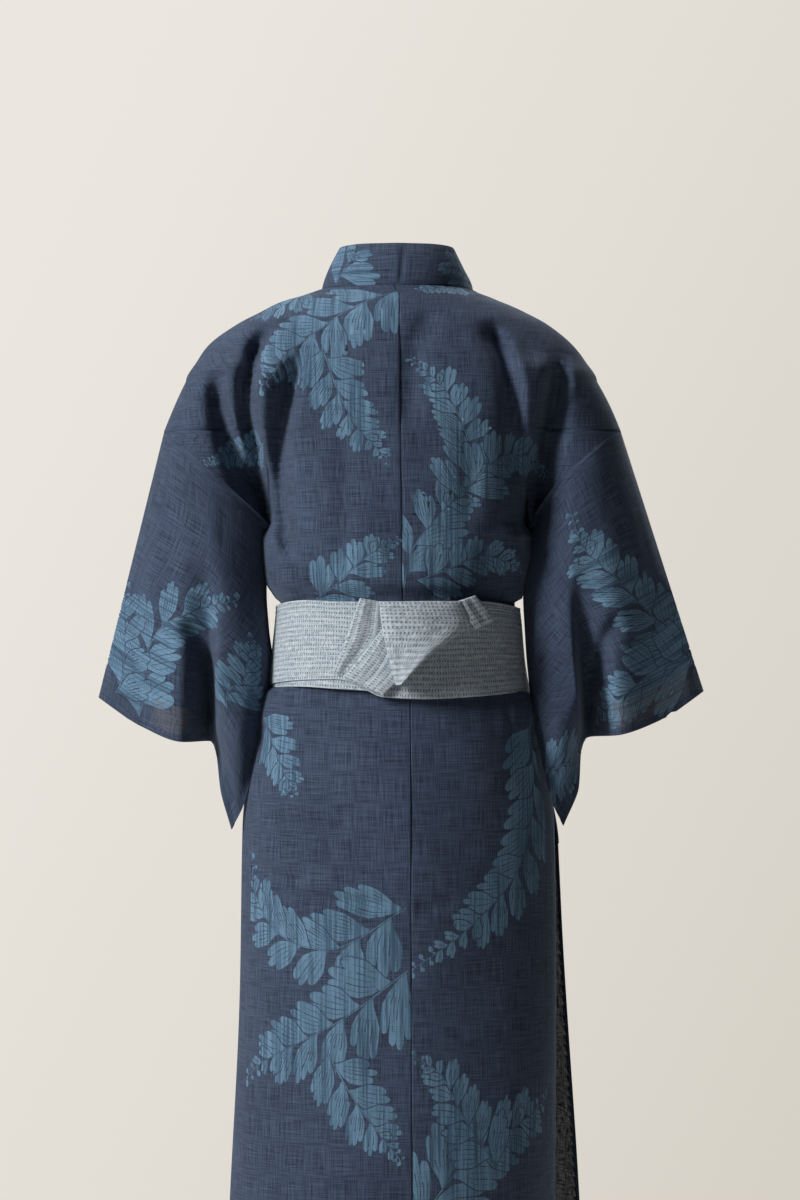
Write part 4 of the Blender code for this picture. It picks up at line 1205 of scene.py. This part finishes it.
def sleeve_piece(side, edges):
    name, flip = "sleeve_" + side, side == "left"
    back, front, t, q = sleeve_grids(side, *edges)
    back = crease_sleeve(back, side, "back", t, q)
    front = crease_sleeve(front, side, "front", t, q)
    whole = np.concatenate([front[:, ::-1], back[:, 1:]], 1)
    middle = front.shape[1] - 1
    normals = outward(whole, flip)
    hemmed = turned_under(whole, normals, "last", NARROW_HEM)
    (u,), v = flat_places(hemmed, sign=-SIGN[side])
    domain = Domain(hemmed, u, v)
    shapes = shapes_for(domain, name + " front", slice(0, middle))
    shapes += shapes_for(domain, name + " back", slice(middle, None))
    q = np.concatenate([q, np.full(len(hemmed) - len(q), 2.0)])[:, None]
    t = np.concatenate([t[::-1], t[1:]])
    low, high = SHEER_CUFF[side]
    sheer = 1.0 * ((q > SHEER_Q[0]) & (q < SHEER_Q[1]) & (t > low) & (t < high))
    hem = stitch_row(name + "_hem_stitches", whole[-3], normals[-3], SLEEVE_HEM_PITCH)
    made = cloth_piece(name + "_cloth", [(domain, shapes, sheer)], flip, side)
    return made


def overlap_piece(side):
    name, flip, sign = "okumi_" + side, side == "left", -SIGN[side]
    inner, outer = (crease_body(grid, SWELL_SEED["okumi"]) for grid in overlap_grids(side))
    columns = inner.shape[1]
    joined = np.concatenate([inner[: len(outer)], outer[:, 1:]], 1)
    normals = outward(joined, flip)
    hemmed = turned_under(joined, normals, "first", HEM)
    extra = len(hemmed) - len(outer)
    inner = np.concatenate([hemmed[:extra, :columns], inner])
    outer = hemmed[:, columns - 1 :]
    turned = turned_under(outer.swapaxes(0, 1), outward(outer, flip).swapaxes(0, 1), "last", NARROW_HEM)
    plain_columns = outer.shape[1]
    outer = turned.swapaxes(0, 1)
    inner = lipped(inner, outward(inner, flip), "first")
    (inner_u,), v = flat_places(inner, sign=sign)
    (outer_u,), _ = flat_places(outer, sign=sign)
    outer_u = outer_u + inner_u[: len(outer), -1:]
    sheer = np.zeros(outer_u.shape)
    # single cloth at the left overlap's free edge: light through its threads, and painted backlight in its
    # colour
    if side == "left":
        sheer[extra:, 2 : plain_columns - 2] = 1
    domains = []
    for grid, u, mask in ((inner, inner_u, None), (outer, outer_u, sheer)):
        domain = Domain(grid, u, v[: len(grid)])
        domains.append((domain, shapes_for(domain, name), mask))
    hem = stitch_row(name + "_hem_stitches", joined[2], normals[2], HEM_PITCH)
    made = cloth_piece(name + "_cloth", domains, flip)
    return made


def collar_piece():
    left, right = collar_half("left"), collar_half("right")
    grid = neck_swing(np.array(left + right[-2::-1]))
    share = np.linspace(0, 1, grid.shape[1])[None]
    off = grid[..., 0] - PLEAT_X + PLEAT_LEAN * share
    width = np.where(off > 0, *PLEAT_WIDTHS)
    pleat = -PLEAT_DEPTH * np.exp(-((off / width) ** 2)) * ease(grid[..., 1] / 0.03)
    grid[..., 1] += pleat * ease(share / 0.15) * ease((1 - share) / 0.3)
    normals = outward(grid, True)
    onward = unit(grid[:, -1] - grid[:, -2])
    radius = BAND_WALL / 2
    columns = [grid]
    for angle in np.radians(FOLD_ANGLES):
        turned = onward * radius * np.sin(angle) - normals[:, -1] * radius * (1 - np.cos(angle))
        columns.append((grid[:, -1] + turned)[:, None])
    columns.append((grid - normals * BAND_WALL)[:, ::-1])
    whole = lipped(np.concatenate(columns, 1), normals, "first", 0.0009)
    (u,), v = flat_places(whole, sign=-1)
    domain = Domain(whole, u, v)
    shapes = shapes_for(domain, "collar", slice(0, grid.shape[1]))
    made = cloth_piece("collar_cloth", [(domain, shapes, None)], True)
    return made


# The belt's edges on the back, as heights over x, from the wearer's right to left
OBI_EDGES = {
    "x": (-0.140, -0.084, -0.022, 0.018, 0.045, 0.065, 0.100, 0.145),
    "bottom": (1.0376, 1.0277, 1.0244, 1.0266, 1.0400, 1.0453, 1.0440, 1.0409),
    "top": (1.1225, 1.1280, 1.1285, 1.1280, 1.1280, 1.1280, 1.1300, 1.1270),
    "inner": (1.0350, 1.0320, 1.0300, 1.0320, 1.0340, 1.0350, 1.0370, 1.0378),
}
SEWN_LINES = (0.885, 0.917, 0.950)  # rows of stitching along the belt's top edge, as shares of its height
EDGE_DIP, SEWN_DIP, CROWN = 0.0004, 0.0005, 0.0010  # how deep its edges and rows lie, and how far it swells
EDGE_INSET = 0.003  # how far its edges in front lie inside OBI_BOTTOM and OBI_TOP


def belt_levels():
    """Base rings of the belt at several heights: points on the body's wall and their outward directions."""
    levels = np.linspace(OBI_BOTTOM - 0.012, OBI_TOP + 0.004, 8)
    probe = 0.01  # a second ring this far out shows each point's way out
    rings, ways = [], []
    for height in levels:
        sag = ease((0.09 - belt_ring(height, 0)[:, 1:2]) / 0.18)
        base, proud = (
            belt_ring(height, out) + (belt_ring(height - OBI_SAG, out) - belt_ring(height, out)) * sag
            for out in (0, probe)
        )
        rings.append(base)
        ways.append((proud - base) / probe)
    return levels, np.array(rings), np.array(ways)


def belt_point(belt, height, out):
    """Points round the belt at a nominal height per column, out from the wall per column."""
    levels, rings, ways = belt
    place = np.clip((height - levels[0]) / (levels[1] - levels[0]), 0, len(levels) - 1.001)
    low = place.astype(int)
    share = (place - low)[:, None]
    column = np.arange(rings.shape[1])
    base, way = (rows[low, column] * (1 - share) + rows[low + 1, column] * share for rows in (rings, ways))
    return base + way * np.asarray(out)[:, None]


def belt_turn(name, belt, bottom_key, out, ripple, node):
    """One turn of the belt as a closed band with rounded edges, its edges uneven on the back."""
    x, y = belt[1][3][:, 0], belt[1][3][:, 1]
    on_back = ease((y + 0.02) / 0.05)
    edges = []
    for key, plain in ((bottom_key, OBI_BOTTOM + EDGE_INSET), ("top", OBI_TOP - EDGE_INSET)):
        edges.append(smooth(OBI_EDGES["x"], OBI_EDGES[key], x) * on_back + plain * (1 - on_back))
    bottom, top = edges
    if bottom_key == "inner":
        top = top - INNER_TURN_DROP
    around = np.linspace(0, 2 * np.pi, len(x), endpoint=False)
    steps = (np.linspace(0.06, 0.84, 14), np.linspace(0.86, 0.975, 24))
    outer = np.concatenate([[0, 0.012, 0.03], *steps, [0.988, 1.0]])
    section = [(share, 0.0) for share in outer]
    section += [(1.004, 0.35), (1.004, 0.65), (1.0, 1.0), (0.75, 1.0), (0.5, 1.0), (0.25, 1.0)]
    section += [(0.0, 1.0), (-0.004, 0.65), (-0.004, 0.35)]
    rows = []
    for share, deep in section:
        height = bottom + (top - bottom) * share
        bow = np.sin(np.pi * np.clip(share, 0, 1))
        wave = ripple * np.sin(5 * around + 2.1 * share + 0.6) * bow
        edge = sum(EDGE_DIP * np.exp(-(((share - line) / 0.02) ** 2)) for line in (0.03, 0.97))
        sewn = sum(SEWN_DIP * np.exp(-(((share - line) / 0.0055) ** 2)) for line in SEWN_LINES)
        off = out - OBI_WALL * deep + (CROWN * bow ** 0.6 + wave - edge - sewn) * (1 - deep)
        rows.append(belt_point(belt, height, off))
    grid = np.array(rows)
    grid[..., 1] -= right_turn(grid[..., 0], BELT_TURN) * ease((grid[..., 1] - 0.01) / 0.05)
    closed = np.pad(grid, ((0, 1), (0, 1), (0, 0)), mode="wrap")
    step = np.linalg.norm(np.diff(closed, axis=1), axis=2).mean(0)
    rise = np.linalg.norm(np.diff(closed, axis=0), axis=2).mean(1)
    u, v = (np.concatenate([[0], np.cumsum(steps)]) for steps in (step, rise))
    flat = np.stack(np.meshgrid(u, v), 2).reshape(-1, 2)
    faces = grid_faces(*closed.shape[:2])[:, [0, 3, 2, 1]]
    points = closed.reshape(-1, 3)
    made = new_object(name, points, faces, np.zeros(len(faces)), flat, [obi_cloth], "obi_cotton")
    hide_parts(node)
    return made


def crowded(count):
    """Places from 0 to 1 that lie closer together at both ends."""
    turn = np.cos(np.pi * np.linspace(0, 1, count))
    return 0.5 - 0.5 * turn * (0.6 + 0.4 * turn ** 2)


def knot_piece(name, node, left, right, stand, thick, tilt, turned, folds):
    """A folded end of the belt: a thick patch over the belt between two edges, with soft folds along it."""
    rows, columns = KNOT_ROWS, KNOT_COLUMNS
    v, u = crowded(rows), crowded(columns)
    start, end = drawn(left, v), drawn(right, v)
    place = start[:, None] * (1 - u[None, :, None]) + end[:, None] * u[None, :, None]
    base = np.array([[belt_back(x, min(height, OBI_TOP - 0.002)) for x, height in row] for row in place])
    rim_v = (1 - np.abs(2 * v - 1) ** 9) ** 0.5
    rim = (1 - np.abs(2 * u - 1) ** 8)[None] ** 0.5 * rim_v[:, None]
    raised = np.zeros(rim.shape)
    for where, width, depth in folds:
        raised += depth * np.exp(-(((u[None] - where) / width) ** 2)) * rim_v[:, None]
    middle = base + stand - thick / 2 + tilt * (u[None] - 0.5)
    depths = middle + thick / 2 * rim + raised * rim, middle - thick / 2 * rim
    points = np.array([np.stack([place[..., 0], y, place[..., 1]], 2) for y in depths]).reshape(-1, 3)
    width = np.linalg.norm(end - start, axis=1).mean()
    length = np.linalg.norm(np.diff(start, axis=0), axis=1).sum()
    flat = np.stack(np.meshgrid(u * width, v * length), 2)
    if turned:
        flat = flat[..., ::-1]
    flat = np.tile(flat.reshape(-1, 2), (2, 1))
    face = grid_faces(rows, columns)
    faces = np.stack([face, face[:, ::-1] + rows * columns], 1).reshape(-1, 4)
    made = new_object(name, points, faces, np.zeros(len(faces)), flat, [obi_cloth], "obi_cotton")
    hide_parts(node)
    return made


class Nodes:
    """Short names for making a material's nodes and joining them."""

    def __init__(self, name):
        self.material = bpy.data.materials.new(name)
        self.material.use_nodes = True
        self.tree = self.material.node_tree
        self.tree.nodes.clear()

    def make(self, kind, inputs=(), **settings):
        """A node with its settings, and with a value or another node's output for each input named."""
        node = self.tree.nodes.new("ShaderNode" + kind)
        for key, value in settings.items():
            setattr(node, key, value)
        for key, value in dict(inputs).items():
            if isinstance(value, bpy.types.NodeSocket):
                self.tree.links.new(value, node.inputs[key])
            else:
                node.inputs[key].default_value = value
        return node

    def math(self, kind, first, second, clamp=False):
        return self.make("Math", {0: first, 1: second}, operation=kind, use_clamp=clamp).outputs[0]

    def plus(self, first, second, clamp=False):
        return self.math("ADD", first, second, clamp)

    def times(self, first, second):
        return self.math("MULTIPLY", first, second)

    def flat(self, across, along, shift=0.0):
        """The flat cloth's place, stretched: across and along are features a metre."""
        place = self.make("UVMap", uv_map="cut").outputs[0]
        inputs = {"Vector": place, "Location": (shift, shift * 0.7, shift), "Scale": (across, along, 1)}
        return self.make("Mapping", inputs).outputs[0]

    def noise(self, across, along, detail=2.0, shift=0.0, rough=0.5):
        inputs = {"Vector": self.flat(across, along, shift), "Scale": 1, "Detail": detail, "Roughness": rough}
        return self.make("TexNoise", inputs, noise_dimensions="2D").outputs[0]

    def wave(self, direction, scale):
        inputs = {"Vector": self.flat(1, 1), "Scale": scale, "Distortion": 0.0}
        return self.make("TexWave", inputs, bands_direction=direction).outputs["Fac"]

    def ramp(self, value, low, high):
        return self.make("MapRange", {"From Min": low, "From Max": high, "Value": value}).outputs[0]

    def mix(self, share, first, second):
        inputs = {"Factor": share, "A": first, "B": second}
        return self.make("Mix", inputs, data_type="RGBA").outputs["Result"]

    def finish(self, shader):
        self.make("OutputMaterial", {"Surface": shader.outputs[0]})
        return self.material


# Colours, darkest first where there are two
INDIGO = ((0.0118, 0.0192, 0.0375, 1), (0.065, 0.093, 0.160, 1))
PRINTED = ((0.037, 0.080, 0.132, 1), (0.124, 0.228, 0.338, 1))
PRINT_THREAD = (0.030, 0.058, 0.092, 1)
OBI_PALE = ((0.25, 0.30, 0.35, 1), (0.47, 0.53, 0.58, 1))
OBI_TICK = (0.085, 0.115, 0.155, 1)
SEWING = (0.030, 0.042, 0.070, 1)
FLOOR = (0.735, 0.712, 0.68, 1)
# painted light: the backdrop's glow, its shaded tone and its lit tone
BACKDROP = ((0.665, 0.631, 0.565, 1), (0.831, 0.799, 0.745, 1))


PAINTED_BACKLIGHT = (0.125, 0.120, 0.122, 1)  # painted light: the paler look of single cloth with light behind it
GAPS = 0.06  # how much light single cloth lets through between its threads


def fabric(nodes, colour, height, roughness, sheen, tint, gaps=0.0):
    """Finishes a cloth's material."""
    bump = nodes.make("Bump", {"Strength": 0.6, "Distance": 0.0004, "Height": height})
    look = {
        "Base Color": colour,
        "Roughness": roughness,
        "Metallic": 0,
        "Specular IOR Level": 0.25,
        "Sheen Weight": sheen,
        "Sheen Roughness": 0.45,
        "Sheen Tint": tint,
        "Normal": bump.outputs[0],
    }
    if gaps:
        weft = nodes.ramp(nodes.noise(70, 620, 2.0, 6.6, 0.6), 0.42, 0.62)
        warp = nodes.ramp(nodes.noise(560, 60, 2.0, 9.1, 0.6), 0.42, 0.62)
        streak = nodes.times(nodes.plus(weft, warp), 0.5)
        # painted light: single cloth's colour is paled along the thread streaks as if lit from behind, while
        # its alpha lets real light through between the threads
        look["Base Color"] = nodes.mix(nodes.times(streak, 0.75), colour, PAINTED_BACKLIGHT)
        look["Alpha"] = nodes.math("SUBTRACT", 1.0, nodes.times(streak, gaps))
    return nodes.finish(nodes.make("BsdfPrincipled", look))


def threads(nodes):
    """Uneven threads of both ways of the weave, from 0 to 1, and their height."""
    warp = nodes.noise(1000, 30, 2.0, 0.0, 0.6)
    weft = nodes.noise(34, 960, 2.0, 3.1, 0.6)
    slub = nodes.noise(14, 420, 1.0, 8.3)
    both = nodes.plus(nodes.plus(nodes.times(warp, 0.50), nodes.times(weft, 0.40)), nodes.times(slub, 0.10))
    ribs = nodes.plus(nodes.wave("X", 420), nodes.wave("Y", 400))
    return both, nodes.plus(nodes.times(ribs, 0.25), both)


def cotton_material(name, gaps=0.0):
    """Plain-woven indigo cotton with uneven threads."""
    nodes = Nodes(name)
    thread, height = threads(nodes)
    cloud = nodes.noise(14, 11, 2.0, 2.2)
    tone = nodes.plus(thread, nodes.times(cloud, 0.10))
    colour = nodes.mix(nodes.ramp(tone, 0.40, 0.72), *INDIGO)
    return fabric(nodes, colour, height, 0.88, 0.22, (0.50, 0.62, 0.80, 1), gaps)


def print_material(name, gaps=0.0):
    """The pale print: the same cloth left lighter, streaked along its warp."""
    nodes = Nodes(name)
    thread, height = threads(nodes)
    streak = nodes.noise(380, 8, 3.0, 11.0, 0.65)
    broad = nodes.noise(60, 9, 1.0, 4.4)
    tone = nodes.plus(nodes.times(streak, 0.75), nodes.times(broad, 0.35))
    colour = nodes.mix(nodes.ramp(tone, 0.40, 0.66), *PRINTED)
    colour = nodes.mix(nodes.ramp(thread, 0.44, 0.30), colour, PRINT_THREAD)
    return fabric(nodes, colour, height, 0.86, 0.22, (0.55, 0.75, 0.92, 1), gaps)


def obi_material(name):
    """Firm pale cotton woven with rows of short dark ticks across it."""
    nodes = Nodes(name)
    ragged = nodes.plus(nodes.wave("X", 100), nodes.noise(330, 170, 2.0, 1.3, 0.6))
    ticks = nodes.times(nodes.ramp(nodes.wave("Y", 56), 0.50, 0.80), nodes.ramp(ragged, 1.05, 1.30))
    dash = nodes.noise(420, 160, 2.0, 1.9, 0.6)
    rib = nodes.noise(40, 760, 1.5, 6.1)
    tone = nodes.plus(nodes.times(dash, 0.5), nodes.times(rib, 0.4))
    colour = nodes.mix(nodes.ramp(tone, 0.34, 0.56), *OBI_PALE)
    colour = nodes.mix(nodes.times(ticks, 0.85), colour, OBI_TICK)
    height = nodes.plus(nodes.times(nodes.wave("Y", 260), 0.35), dash)
    height = nodes.math("SUBTRACT", height, nodes.times(ticks, 0.8))
    return fabric(nodes, colour, height, 0.82, 0.12, (0.9, 0.95, 1, 1))


def plain_material(name, colour, roughness):
    nodes = Nodes(name)
    patch = nodes.make("TexNoise", {"Scale": 1.3})
    dark = tuple(0.97 * part for part in colour[:3]) + (1,)
    shade = nodes.mix(patch.outputs[0], dark, colour)
    return nodes.finish(nodes.make("BsdfPrincipled", {"Base Color": shade, "Roughness": roughness}))


CAMERA_PLACE, LENS = (0.0022, 4.0, -0.32), 109.0
AIR = ((0.86, 0.88, 0.92, 1), 0.035)  # colour and strength of the light from all round
BACKDROP_REACH = 14.0
BACKDROP_PAINTED_LIGHT = (0.162, 0.081, 0.60)  # painted light on the backdrop: how it pales towards x and upwards, and how pale its middle is
# The round floor: its far edge lies just under the photograph's frame
FLOOR_PLACE, FLOOR_REACH = (0.7, 0.35, -HOLD_HEIGHT - 0.001), 3.0


def staged(name, points, faces, material):
    """A piece of the studio."""
    mesh = bpy.data.meshes.new(name)
    mesh.from_pydata(points.tolist(), [], faces)
    mesh.materials.append(material)
    made = added(name, mesh)
    return made


def even_turns(steps):
    return np.linspace(0, 2 * np.pi, steps + 1)[:-1]


def backdrop_shell():
    """A pale backdrop all round the room, glowing with painted light that pales towards x and upwards, seen
    by the camera but throwing no light on the cloth.
    """
    nodes = Nodes("backdrop_painted_light")
    parts = nodes.make("SeparateXYZ", {0: nodes.make("TexCoord").outputs["Object"]})
    towards_x, upwards, middle = BACKDROP_PAINTED_LIGHT
    # painted light: the glow pales towards x and upwards
    share = nodes.plus(nodes.times(parts.outputs[0], towards_x), nodes.times(parts.outputs[2], upwards))
    share = nodes.plus(share, middle, clamp=True)
    material = nodes.finish(nodes.make("Emission", {"Color": nodes.mix(share, *BACKDROP)}))
    material.cycles.emission_sampling = "NONE"
    turn, rise = np.meshgrid(even_turns(96), np.linspace(-np.pi / 2, np.pi / 2, 49)[1:-1])
    ring = BACKDROP_REACH * np.cos(rise)
    points = np.stack([ring * np.cos(turn), ring * np.sin(turn), BACKDROP_REACH * np.sin(rise)], 2)
    number = np.arange(turn.size).reshape(turn.shape)
    low, high = number[:-1], number[1:]
    faces = np.stack([low, np.roll(low, -1, 1), np.roll(high, -1, 1), high], 2).reshape(-1, 4).tolist()
    faces += [number[0].tolist(), number[-1].tolist()]
    shell = staged("backdrop", points.reshape(-1, 3), faces, material)
    for ray in ("diffuse", "glossy", "transmission", "volume_scatter", "shadow"):
        setattr(shell, "visible_" + ray, False)


def studio():
    """Camera at the photograph's angle, a pale backdrop and floor, and soft light from the camera's left."""
    scene = bpy.context.scene
    data = bpy.data.cameras.new("camera")
    data.sensor_fit = "VERTICAL"
    data.sensor_height = 36
    data.sensor_width = 36
    data.lens = LENS
    data.clip_end = 60
    camera = added("camera", data, CAMERA_PLACE)
    camera.rotation_euler = (np.pi / 2, 0, np.pi)
    scene.camera = camera
    turn = even_turns(96)
    rim = FLOOR_REACH * np.stack([np.cos(turn), np.sin(turn), np.zeros(96)], 1) + FLOOR_PLACE
    staged("floor", rim, [list(range(96))], plain_material("floor_paper", FLOOR, 0.95))
    backdrop_shell()
    for name, place, aim, size, power, colour in LIGHTS:
        lamp = bpy.data.lights.new(name, "AREA")
        lamp.shape = "RECTANGLE"
        lamp.size, lamp.size_y = size
        lamp.energy = power
        lamp.color = colour
        made = added(name, lamp, place)
        made.rotation_euler = (Vector(aim) - Vector(place)).to_track_quat("-Z", "Y").to_euler()
    world = bpy.data.worlds.new("studio")
    world.use_nodes = True
    background = world.node_tree.nodes["Background"]
    background.inputs["Color"].default_value, background.inputs["Strength"].default_value = AIR
    scene.world = world
    scene.view_settings.view_transform = "Standard"
    scene.view_settings.look = "None"


LIGHTS = (
    # name, place, aim, size, power, colour
    ("key", (2.85, 2.05, 1.25), (0, 0, -0.1), (1.0, 1.5), 180, (1.0, 0.985, 0.965)),
    ("fill", (-1.2, 3.8, 0.3), (0, 0, -0.3), (2.4, 2.4), 2, (0.92, 0.96, 1.0)),
    ("top", (0.2, -1.0, 2.4), (-0.6, -3.6, -0.6), (4.0, 1.6), 105, (1.0, 0.98, 0.96)),
    ("front", (-1.1, -3.2, 0.7), (0, 0, -0.4), (2.0, 2.0), 45, (1.0, 0.985, 0.97)),
)

cotton = cotton_material("yukata_cotton_look")
leaf_print = print_material("yukata_print_look")
sheer_cotton_painted_backlight = cotton_material("yukata_cotton_single_painted_backlight", GAPS)
sheer_print_painted_backlight = print_material("yukata_print_single_painted_backlight", GAPS)
obi_cloth = obi_material("obi_cotton_look")
sewing_thread = plain_material("sewing_thread_look", SEWING, 0.7)

for side_name in ("left", "right"):
    body, armhole_edges = body_piece(side_name)
    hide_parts("body_" + side_name)
    sleeve = sleeve_piece(side_name, armhole_edges)
    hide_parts("sleeve_" + side_name)
    okumi = overlap_piece(side_name)
    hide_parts("okumi_" + side_name)
band = collar_piece()
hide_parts("collar")
belt = belt_levels()
belt_turn("obi_inner", belt, "inner", INNER_TURN, 0.0, "obi_inner_turn")
belt_turn("obi_outer", belt, "bottom", OUTER_TURN, OUTER_RIPPLE, "obi_wrap")
for node_name, shape_of in KNOT.items():
    knot_piece(node_name.replace("obi_", "obi_looks_"), node_name, **shape_of)

studio()
